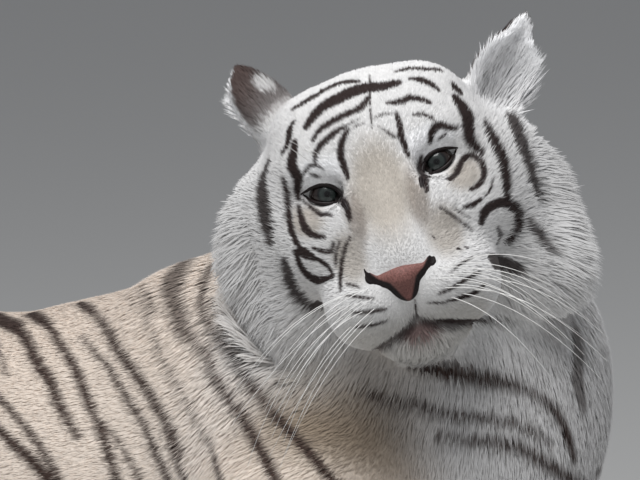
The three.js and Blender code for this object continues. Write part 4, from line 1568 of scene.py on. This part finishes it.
LID_EDGES = (LID_UPPER, UPPER_RADII), (LID_LOWER, LOWER_RADII)
rim_points, rim_faces = gathered(lid_rim(s, *edge) for s in SIDES.values() for edge in LID_EDGES)
lids = make_mesh("lid_rims", rim_points, [rim_faces], plain_tint(len(rim_points), LID_RIM))
lids.data.materials.append(tint_material("lid_skin"))
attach(lids, "root")


# ---------- nose ----------
NOSE_PARTS = [
    ball(lean([114, 0, -98]), [15, 30, 11]),
    limb(lean([118, 0, -104]), lean([116, 0, -121]), 12.5, 5),
    *both_sides(lambda s: [limb(lean([113, s * 34, -84]), lean([117, s * 31, -94]), 1.8, 3.0)]),
    *both_sides(lambda s: [limb(lean([117, s * 31, -94]), lean([116, s * 7, -119]), 3.2, 2.6)]),
]
NOSE = [joined(NOSE_PARTS, 8)]
NOSE_STEP = 1.3
NOSE_AXES = [
    np.arange(84, 136, NOSE_STEP),
    np.arange(-54, 46.1, NOSE_STEP),
    np.arange(-142, -76, NOSE_STEP),
]
NOSTRIL_LINE = [(116, 37, -83), (123, 33, -94), (128, 20, -108), (124, 8, -123)]
NOSTRIL_RADII = [0, 0.2, 0.55, 1], [2.6, 3.6, 4.6, 2.0]  # at shares of the line
NOSTRIL_STEPS = 9
PINK_HALVES = [-126, -119, -112, -104, -97, -87], [1, 5, 8.5, 13, 23, 30]  # at heights
NOSE_PINK = linear(136, 94, 88)
NOSE_DARK = linear(84, 54, 50)
NOSTRIL_BLACK = linear(26, 18, 18)


def nostril_shapes():
    made = []
    for s in SIDES.values():
        line = smooth_line([lean([x, s * left, up]) for x, left, up in NOSTRIL_LINE], NOSTRIL_STEPS)
        radii = np.interp(np.linspace(0, 1, NOSTRIL_STEPS), *NOSTRIL_RADII)
        made += [limb(*ends) for ends in zip(line, line[1:], radii, radii[1:])]
    return made


NOSTRILS = nostril_shapes()


def make_nose():
    grid = Grid(NOSE_AXES)
    values = grid.all_of(NOSE, 6)
    grid.cut(values, NOSTRILS, 2.5)
    vertices, quads = surface(values, grid.axes)
    vertices = averaged(vertices, quads, 1)
    pink = np.interp(vertices[:, 2], *PINK_HALVES)
    deep = ramp(-1.2, 1.6, np.abs(vertices[:, 1] - MUZZLE_LEAN) - pink)
    tints = plain_tint(len(vertices), NOSE_PINK)
    tints = toward(tints, NOSE_DARK, 0.5 * ramp(-20, 18, -vertices[:, 2] - 108))
    tints = toward(tints, NOSTRIL_BLACK, deep)
    return make_mesh("nose_leather", from_head(vertices), [quads], tints)


nose = make_nose()
nose.data.materials.append(tint_material("nose_skin"))
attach(nose, "root")
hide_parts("nose")

# ---------- the coat ----------
# The tufts of each region: length, width, rise of the tip, spacing, size of a lock; millimetres.
COATS = {
    "face": (6.2, 1.15, 1.7, 1.6, 4.0),
    "crown": (10.0, 1.4, 2.8, 1.9, 6.0),
    "cheek": (17.0, 1.6, 5.0, 1.9, 8.0),
    "ruff": (54.0, 1.9, 11.0, 1.75, 12.0),
    "chin": (22.0, 1.3, 8.0, 1.8, 7.0),
    "ear": (9.0, 1.5, 2.4, 2.0, 6.0),
    "neck": (24.0, 1.8, 5.0, 2.15, 8.0),
    "chest": (22.0, 1.8, 4.5, 2.4, 8.0),
    "barrel": (17.0, 1.8, 1.5, 2.3, 4.5),
    "rump": (17.0, 1.8, 1.5, 2.4, 4.5),
    "leg": (13.0, 1.9, 1.6, 2.9, 4.5),
    "paw": (7.0, 1.5, 1.8, 2.4, 5.0),
    "tail": (15.0, 1.9, 3.5, 2.5, 6.0),
}
LEG_PARTS = ("upper_arm", "forearm", "thigh", "shank", "hind_foot")
MOST_TRIANGLES = 190_000  # in one piece of the coat
LOW_COAT = 9.0  # under this height, hair is short
FACE_BACK, FAR_FROM_EYE = -30.0, 60.0


def coat_of(part):
    """The region of COATS that a part of the body has."""
    if part.startswith(LEG_PARTS):
        return "leg"
    if "paw" in part:
        return "paw"
    return part.split("_")[0]


def eye_clearance(h):
    """How far a place in the head's frame is from the nearer opening between the lids."""
    away = np.minimum(*(opening_distance(s, h[:, 1], h[:, 2]) for s in SIDES.values()))
    return np.where(h[:, 0] > FACE_BACK, away, FAR_FROM_EYE)


FRINGE = np.array([30.0, 0, 13, 0, 6])  # what the long hair inside an ear adds to its row


def coat_numbers(points, normals):
    """The row of COATS at each point of the skin, mixed where regions meet."""
    h = to_head(points)
    table = {name: np.array(row) for name, row in COATS.items()}
    face = mix(table["crown"], table["face"], ramp(-70, 0, h[:, 0])[:, None])
    cheek = ramp(66, 96, np.abs(h[:, 1])) * ramp(30, -10, h[:, 0]) * ramp(70, 10, h[:, 2])
    face = mix(face, table["cheek"], cheek[:, None])
    face = mix(face, table["chin"], blotch(h, 0, -190, 62, 36)[:, None])
    jowl = ramp(-90, -150, h[:, 2]) * ramp(40, 0, h[:, 0])
    face = mix(face, table["neck"], jowl[:, None])
    face = mix(face, table["ruff"], ramp(0.05, 0.7, ruff_share(points))[:, None])
    total = 0
    for share, part in zip(skin_shares, PART_NAMES):
        row = face if part == "head" else table[coat_of(part)]
        total = total + share[:, None] * row
    for name in SIDES:
        place, axes = ear_frame(name)
        inside = share_of("ear_" + name) * ramp(0.1, 0.6, (normals @ axes)[:, 0])
        local = (points - place) @ axes
        fringe = inside * (1 - ramp(0, 44, local[:, 2])) * (1 - ramp(24, 34, np.abs(local[:, 1])))
        total = total + fringe[:, None] * FRINGE
    near_nose = mix(0.4, 1, ramp(0, 26, np.array([s.of(h) for s in NOSE]).min(axis=0)))
    near_eye = mix(0.55, 1, ramp(1, 20, eye_clearance(h))) * near_nose
    low = mix(0.25, 1, ramp(2, LOW_COAT * 3, points[:, 2]))
    total[:, 0] *= near_eye * mix(0.5, 1, low)
    total[:, 2] *= near_eye * low
    return total


def on_rims(points):
    """Where the lids' rims lie."""
    near = np.flatnonzero(eye_clearance(to_head(points)) < 26)
    rings = rim_points.reshape(-1, RIM_SIDES, 3)
    middles = rings.mean(axis=1)
    radii = np.linalg.norm(rings[:, 0] - middles, axis=1)
    away = np.linalg.norm(points[near, None] - middles[None], axis=2) - radii
    found = np.zeros(len(points), bool)
    found[near] = away.min(axis=1) < RIM_BARE
    return found


def is_bare(points, normals):
    """Where no hair grows: between the lids, on the nose, in the mouth, and under the animal."""
    h = to_head(points)
    front = np.array([s.of(h) for s in NOSE]).min(axis=0)
    mouth = np.min([s.of(points) for s in MOUTH], axis=0)
    under = (normals[:, 2] < -0.6) & (points[:, 2] < 50)
    bare = on_rims(points) | (eye_clearance(h) < 2.0) | (front < 1.0) | (mouth < 0.7)
    return bare | (points[:, 2] < 2.5) | under


def lie_round_eyes(points, normals, lie):
    """Hair close to an eye grows away from it."""
    h = to_head(points)
    turned = lie.copy()
    for s in SIDES.values():
        away = opening_distance(s, h[:, 1], h[:, 2])
        near = (1 - ramp(3, 20, away)) * ramp(-30, -10, h[:, 0])
        out = h - EYE_PLACE * [1, s, 1]
        out[:, 0] = 0
        turned = mix(turned, unit(out) @ HEAD_AXES.T, near[:, None])
    return unit(turned - normals * (turned * normals).sum(axis=1, keepdims=True))


class Roots:
    """Places where tufts grow, and what each tuft is like; numbers are rows as in COATS."""

    def __init__(self, place, normal, lie, numbers, tint, part):
        self.fields = place, normal, lie, numbers, tint, part
        self.place, self.normal, self.lie, self.tint, self.part = place, normal, lie, tint, part
        self.length, self.width, self.rise, _, self.lock = numbers.T

    def only(self, chosen):
        return Roots(*(values[chosen] for values in self.fields))


def grown(rng):
    """Roots over the whole skin, spaced as COATS says."""
    triangles = np.vstack([skin_faces[:, [0, 1, 2]], skin_faces[:, [0, 2, 3]]])
    a, b, c = (skin_points[triangles[:, i]] for i in range(3))
    area = np.linalg.norm(np.cross(b - a, c - a), axis=1) / 2
    numbers = coat_numbers(skin_points, skin_normals)
    spacing = numbers[triangles, 3].mean(axis=1) * 1
    bare = is_bare(skin_points, skin_normals)[triangles].mean(axis=1) > 0.5
    total = np.cumsum(np.where(bare, 0, area / spacing**2))
    count = int(total[-1])
    face = np.searchsorted(total, np.arange(count) + rng.random(count)).clip(0, len(triangles) - 1)
    u, v = np.sqrt(rng.random(count)), rng.random(count)
    weights = np.stack([1 - u, u * (1 - v), u * v], axis=1)
    lie = lie_round_eyes(skin_points, skin_normals, skin_lie)
    data = np.hstack([skin_points, skin_normals, lie, numbers, skin_ground])
    at = sum(weights[:, i, None] * data[triangles[face, i]] for i in range(3))
    place, normal, lie, numbers, tint = np.split(at, [3, 6, 9, 14], axis=1)
    roots = Roots(place, unit(normal), unit(lie), numbers, tint, skin_part[triangles[face, 0]])
    return roots.only(~is_bare(roots.place, roots.normal))


FLANK_SPLIT = -300.0  # between the fore and the hind flank
LONGEST_NAME = "U28"


def piece_names(roots):
    """The piece of the coat that each root is in."""
    h = to_head(roots.place)
    others = {"tail": "coat_tail", "head": "coat_crown", "ear_right": "coat_ears", "ear_left": "coat_ears"}
    by_part = [PARTS[n][2] if n in PARTS else others[n] for n in PART_NAMES]
    names = np.array(by_part)[roots.part].astype(LONGEST_NAME)
    left = np.where(roots.place[:, 1] > 0, "_left", "_right")
    flank = names == "coat_flank"
    along = np.where(roots.place[:, 0] > FLANK_SPLIT, "_fore", "_hind")
    names[flank] = np.char.add(np.char.add("coat_flank", along[flank]), left[flank])
    on_head = roots.part == PART_NAMES.index("head")
    ruff = on_head & (ruff_share(roots.place) > 0.25)
    face = on_head & ~ruff & (h[:, 0] > -25)
    names[ruff] = np.char.add("coat_ruff", np.where(h[:, 1] > 0, "_left", "_right")[ruff])
    names[face] = "coat_face"
    return names


# ---------- where tufts lie on the coat's unwraps ----------
PATCH = 0.003  # across one tuft
TILE_MARGIN, TILE_INNER = 0.01, 0.97  # of a tile, left free and taken up


def round_axis(points, at, axis):
    """Share of a turn about an axis, and the height along it."""
    side = unit(np.cross(axis, [0.13, 0.97, 0.21]))
    other = np.cross(axis, side)
    d = points - at
    return np.arctan2(d @ side, d @ other) / (2 * np.pi) + 0.5, d @ axis


def unwrapped(part, points, normals):
    """A place on the part's own unwrap, not yet fitted to its tile."""
    if part.startswith("ear_"):
        place, axes = ear_frame(part[4:])
        local, facing = (points - place) @ axes, (normals @ axes)[:, 0]
        beside = np.where(facing > 0, 0, 3 * EAR_HALF[part[4:]][1])  # the back, beside the cup
        return np.stack([local[:, 1] + beside, local[:, 2]], axis=1)
    if part == "head":
        d = unit(to_head(points) - [-40, 0, -60])
        return np.stack([np.arctan2(d[:, 1], d[:, 0]), np.arcsin(d[:, 2])], axis=1)
    if part == "tail":
        steps = unit(np.diff(TAIL_LINE, axis=0))
        near = np.linalg.norm(points[:, None] - TAIL_LINE[None, :-1], axis=2).argmin(axis=1)
        out = points - TAIL_LINE[near]
        side = unit(np.cross(steps[near], UP))
        up = np.cross(side, steps[near])
        turned = np.arctan2((out * side).sum(axis=1), (out * up).sum(axis=1))
        return np.stack([turned, near + (out * steps[near]).sum(axis=1) / 40], axis=1)
    axis = {"neck": NECK_AXIS, "chest": UP, "barrel": BACK, "rump": BACK}.get(part)
    if axis is None:
        axis = BACK if part.startswith("thigh") else unit(PARTS[part][1])
    middle = (points.min(axis=0) + points.max(axis=0)) / 2
    return np.stack(round_axis(points, middle, axis), axis=1)


def bake_places(roots):
    """Each root's place on its piece's unwrap, with one tile for each part in the piece."""
    kinds = np.unique(roots.part)
    uv = np.zeros((len(roots.place), 2))
    columns = math.ceil(math.sqrt(len(kinds)))
    rows = math.ceil(len(kinds) / columns)
    for tile, kind in enumerate(kinds):
        mine = roots.part == kind
        raw = unwrapped(PART_NAMES[kind], roots.place[mine], roots.normal[mine])
        low, high = raw.min(axis=0), raw.max(axis=0)
        fitted = TILE_MARGIN + TILE_INNER * (raw - low) / np.maximum(high - low, 1e-6)
        uv[mine] = (fitted + [tile % columns, tile // columns]) / [columns, rows]
    return uv


# ---------- tufts ----------
STEM_ROWS = {"short": [0.0, 0.45], "long": [0.0, 0.33, 0.68]}
TAPER = {"short": [1.0, 0.8], "long": [0.9, 1.0, 0.6]}
# Painted shade: each blade is darker at its root, deep in the coat, and a little lighter at its tip as
# painted light.
ROOT_PAINTED_SHADES = {"short": 0.92, "long": 0.8}
TIP_PAINTED_LIGHT = 1.04
SUNK = 0.6  # how far a blade starts under the skin
LOWEST_TIP, LOWEST_BLADE = 0.8, 0.5  # over the floor
HEAD_EDGE, BODY_EDGE = 0.9, 1.7  # how soft a stripe's edge is
OWN_SHARE = 0.35  # how far a tuft is of one darkness all along


def tuft_mesh(name, roots, rng, kind, droop):
    """A piece of the coat: one tapering blade for each root."""
    count = len(roots.place)
    normal = roots.normal
    across = np.cross(roots.lie, normal)
    lie = unit(roots.lie + across * rng.normal(0, 0.2, count)[:, None])
    length = roots.length * rng.uniform(0.75, 1.2, count)
    rise = roots.rise * rng.uniform(0.45, 1.45, count)
    tip = roots.place + lie * length[:, None] + normal * rise[:, None]
    tip[:, 2] -= droop * roots.length
    cell = np.floor(roots.place / roots.lock[:, None] + rng.uniform(0, 1, 3)).astype(int)
    _, lock = np.unique(cell @ [1, 4099, 16785407], return_inverse=True)
    size = np.bincount(lock)
    middle = np.stack([np.bincount(lock, tip[:, i]) / size for i in range(3)], axis=1)[lock]
    tip = mix(tip, middle, 0.5)
    tip[:, 2] = np.maximum(tip[:, 2], LOWEST_TIP)
    through = roots.place - normal * SUNK
    bow = through + (tip - through) * 0.5 + normal * (0.3 * rise)[:, None]
    flat = unit(np.cross(tip - through, normal) + normal * rng.normal(0, 0.35, count)[:, None])
    on_head = roots.part >= PART_NAMES.index("head")
    soft = HEAD_EDGE if on_head.mean() > 0.5 else BODY_EDGE
    dark_at = lambda share: darkness(mix(roots.place, tip, share), normal, soft)
    root_dark, mid_dark, tip_dark = (dark_at(share) for share in (0.1, 0.55, 1.0))
    own_dark = dark_at(rng.uniform(0.3, 0.9, count)[:, None])
    varied = (1 + rng.normal(0, 0.03, count))[:, None]
    marking = stripe_colour(on_head)
    coloured = lambda dark: mix(roots.tint, marking, mix(dark, own_dark, OWN_SHARE)[:, None]) * varied
    rows, tints, places = [], [], []
    uv = bake_places(roots)
    for t, wide in zip(STEM_ROWS[kind], TAPER[kind]):
        at = through * (1 - t) ** 2 + bow * 2 * t * (1 - t) + tip * t * t
        half = flat * (roots.width * wide / 2)[:, None]
        dark = mix(root_dark, mid_dark, t / 0.5) if t < 0.5 else mix(mid_dark, tip_dark, t / 0.5 - 1)
        # Painted shade toward the root, painted light at the tip.
        colour = coloured(dark) * mix(ROOT_PAINTED_SHADES[kind], TIP_PAINTED_LIGHT, t)
        for sign in (-1, 1):
            rows.append(at + sign * half)
            tints.append(colour)
            places.append(uv + [sign * PATCH / 2 * wide, t * PATCH])
    rows.append(tip)
    tints.append(coloured(tip_dark) * TIP_PAINTED_LIGHT)
    places.append(uv + [0, PATCH])
    points, shades, uvs = (np.stack(a, axis=1) for a in (rows, tints, places))
    corners = points.shape[1]
    pattern = []
    for i in range(0, corners - 3, 2):
        pattern += [[i, i + 1, i + 3], [i, i + 3, i + 2]]
    pattern.append([corners - 3, corners - 2, corners - 1])
    faces = (np.arange(count)[:, None, None] * corners + np.array(pattern)[None]).reshape(-1, 3)
    points[..., 2] = np.maximum(points[..., 2], LOWEST_BLADE)
    shades = np.clip(shades.reshape(-1, 3), 0, 1)
    made = make_mesh(name, points.reshape(-1, 3), [faces], shades, uvs.reshape(-1, 2))
    made.data.materials.append(COAT_LOOK)
    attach(made, "root")


LONG_PIECES = ("coat_ruff_left", "coat_ruff_right")
RUFF_SAG = 0.3


def make_coat():
    rng = np.random.default_rng(COAT_SEED)
    roots = grown(rng)
    names = piece_names(roots)
    for name in np.unique(names):
        mine = roots.only(names == name)
        kind = "long" if name in LONG_PIECES else "short"
        most = MOST_TRIANGLES // (2 * len(STEM_ROWS[kind]) - 1)
        if len(mine.place) > most:
            mine = mine.only(np.sort(rng.choice(len(mine.place), most, replace=False)))
        tuft_mesh(str(name), mine, rng, kind, RUFF_SAG if kind == "long" else 0.0)


make_coat()

# ---------- whiskers ----------
# The rows of the pads: their height, and how far to the side each whisker grows.
WHISKER_ROWS = [
    (-103, (34, 46, 58)),
    (-113, (32, 44, 56, 66)),
    (-123, (34, 46, 58, 67)),
    (-133, (38, 50, 62)),
]
WHISKER_TOP, WHISKER_BOTTOM = WHISKER_ROWS[0][0], WHISKER_ROWS[-1][0]
BROW_WHISKERS = [(50, 37), (57, 40), (64, 37)]
WHISKER_LONG, WHISKER_SHORT = 165.0, 95.0
WHISKER_THICK, BROW_THICK, WHISKER_FINE = 0.48, 0.3, 0.12
WHISKER_STEPS, WHISKER_SIDES = 14, 4
WHISKER_SAG = 0.28
WHISKER_ROOT = [1.5, 0, 0]  # how far it starts under the skin
WHISKER_WHITE = linear(246, 245, 242)


def whisker(root, start, end, length, thick, sag):
    """A fine tube that leaves its root one way and ends another."""
    t = np.linspace(0, 1, WHISKER_STEPS)[:, None]
    path = unit(start) * (t - t * t / 2) + unit(end) * (t * t / 2)
    line = from_head(root - WHISKER_ROOT + length * path)
    line[:, 2] -= sag * length * t[:, 0] ** 2
    return tube(line, np.linspace(thick, WHISKER_FINE, WHISKER_STEPS), WHISKER_SIDES)


def face_hit(left, up):
    """The place on the face in the head's frame, as seen from its front."""
    return to_head(first_hit(from_head([200, left, up]), -HEAD_AXES[:, 0]))


def make_whiskers():
    rng = np.random.default_rng(WHISKER_SEED)
    made = []
    for s in SIDES.values():
        for up, places in WHISKER_ROWS:
            for left in places:
                root = face_hit(s * left + MUZZLE_LEAN, up)
                drop = (WHISKER_TOP - up) / (WHISKER_TOP - WHISKER_BOTTOM)
                start = np.array([0.75, s * 1.0, -0.05 - 0.35 * drop]) + rng.normal(0, 0.08, 3)
                end = np.array([-0.45, s * 1.0, -0.35 - 0.5 * drop]) + rng.normal(0, 0.12, 3)
                length = mix(WHISKER_SHORT, WHISKER_LONG, rng.uniform(0.3, 1))
                made.append(whisker(root, start, end, length, WHISKER_THICK, WHISKER_SAG))
        for left, up in BROW_WHISKERS:
            root = face_hit(s * left, up)
            start = np.array([0.9, s * 0.3, 0.5]) + rng.normal(0, 0.1, 3)
            end = np.array([0.0, s * 0.7, 0.8]) + rng.normal(0, 0.1, 3)
            made.append(whisker(root, start, end, rng.uniform(40, 60), BROW_THICK, 0.0))
    return gathered(made)


whisker_points, whisker_faces = make_whiskers()
whisker_tint = plain_tint(len(whisker_points), WHISKER_WHITE)
whiskers = make_mesh("whiskers", whisker_points, [whisker_faces], whisker_tint)
whiskers.data.materials.append(tint_material("whisker_hair"))
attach(whiskers, "root")


# ---------- claws ----------
CLAW_RADIUS, CLAW_TIP, CLAW_REACH, CLAW_DROP = 3.6, 0.25, 15.0, 9.0
CLAW_ROOT = np.array([17, 0, 3])  # from the toe's end
CLAW_STEPS, CLAW_SIDES = 8, 8
CLAW_HORN = linear(196, 180, 158)


def claw(paw, side, size, place):
    root = np.array(toe_line(paw, side, size, place)[1], float) + CLAW_ROOT * size
    t = np.linspace(0, 1, CLAW_STEPS)
    line = root + np.stack([CLAW_REACH * t, 0 * t, -CLAW_DROP * t**2], axis=1) * size
    radii = np.maximum(CLAW_RADIUS * (1 - t) ** 0.7, CLAW_TIP) * size
    return tube(line, radii, CLAW_SIDES)


CLAW_LIST = [
    claw(paw, s, size, place)
    for s in SIDES.values()
    for paw, size in ((FORE_PAW, 1), (HIND_PAW, HIND_PAW_SIZE))
    for place in TOE_PLACES
]
claw_points, claw_faces = gathered(CLAW_LIST)
claws = make_mesh("claws", claw_points, [claw_faces], plain_tint(len(claw_points), CLAW_HORN))
claws.data.materials.append(tint_material("claw_horn"))
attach(claws, "root")


# ---------- light and floor ----------
SKY_COLOUR, SKY_STRENGTH = (0.93, 0.95, 1.0, 1), 0.33
KEY_TOWARD = CAMERA_BACK * 0.62 - CAMERA_RIGHT * 0.2 + np.array([0, 0, 1.2])
KEY_AWAY, KEY_SIZE, KEY_POWER = 4.0, 3.0, 165  # metres, metres, watts
FLOOR_REACH, FLOOR_SIDES = 20.0, 64
FLOOR_GREY, FLOOR_ROUGHNESS = (0.5, 0.5, 0.49, 1), 0.9


def add_key_light():
    data = bpy.data.lights.new("key", "AREA")
    data.shape, data.size, data.energy = "DISK", KEY_SIZE, KEY_POWER
    light = bpy.data.objects.new("key", data)
    bpy.context.scene.collection.objects.link(light)
    aim = Vector(to_row(CAMERA_AIM))
    light.location = aim + Vector(unit(KEY_TOWARD)) * KEY_AWAY
    light.rotation_mode = "QUATERNION"
    light.rotation_quaternion = (light.location - aim).to_track_quat("Z", "Y")


def add_studio():
    world = bpy.data.worlds.new("studio")
    bpy.context.scene.world = world
    world.use_nodes = True
    background = world.node_tree.nodes["Background"]
    background.inputs["Color"].default_value = SKY_COLOUR
    background.inputs["Strength"].default_value = SKY_STRENGTH
    add_key_light()
    bpy.context.scene.view_settings.view_transform = "Standard"


def make_floor():
    spin = np.linspace(0, 2 * np.pi, FLOOR_SIDES, endpoint=False)
    rim = [(FLOOR_REACH * math.cos(a), FLOOR_REACH * math.sin(a), 0) for a in spin]
    mesh = bpy.data.meshes.new("floor")
    mesh.from_pydata(rim, [], [list(range(FLOOR_SIDES))])
    material, _, shader = new_material("floor_paint", FLOOR_ROUGHNESS)
    shader.inputs["Base Color"].default_value = FLOOR_GREY
    mesh.materials.append(material)
    made = bpy.data.objects.new("floor", mesh)
    bpy.context.scene.collection.objects.link(made)
    return made


floor = make_floor()
add_studio()

bpy.context.view_layer.update()
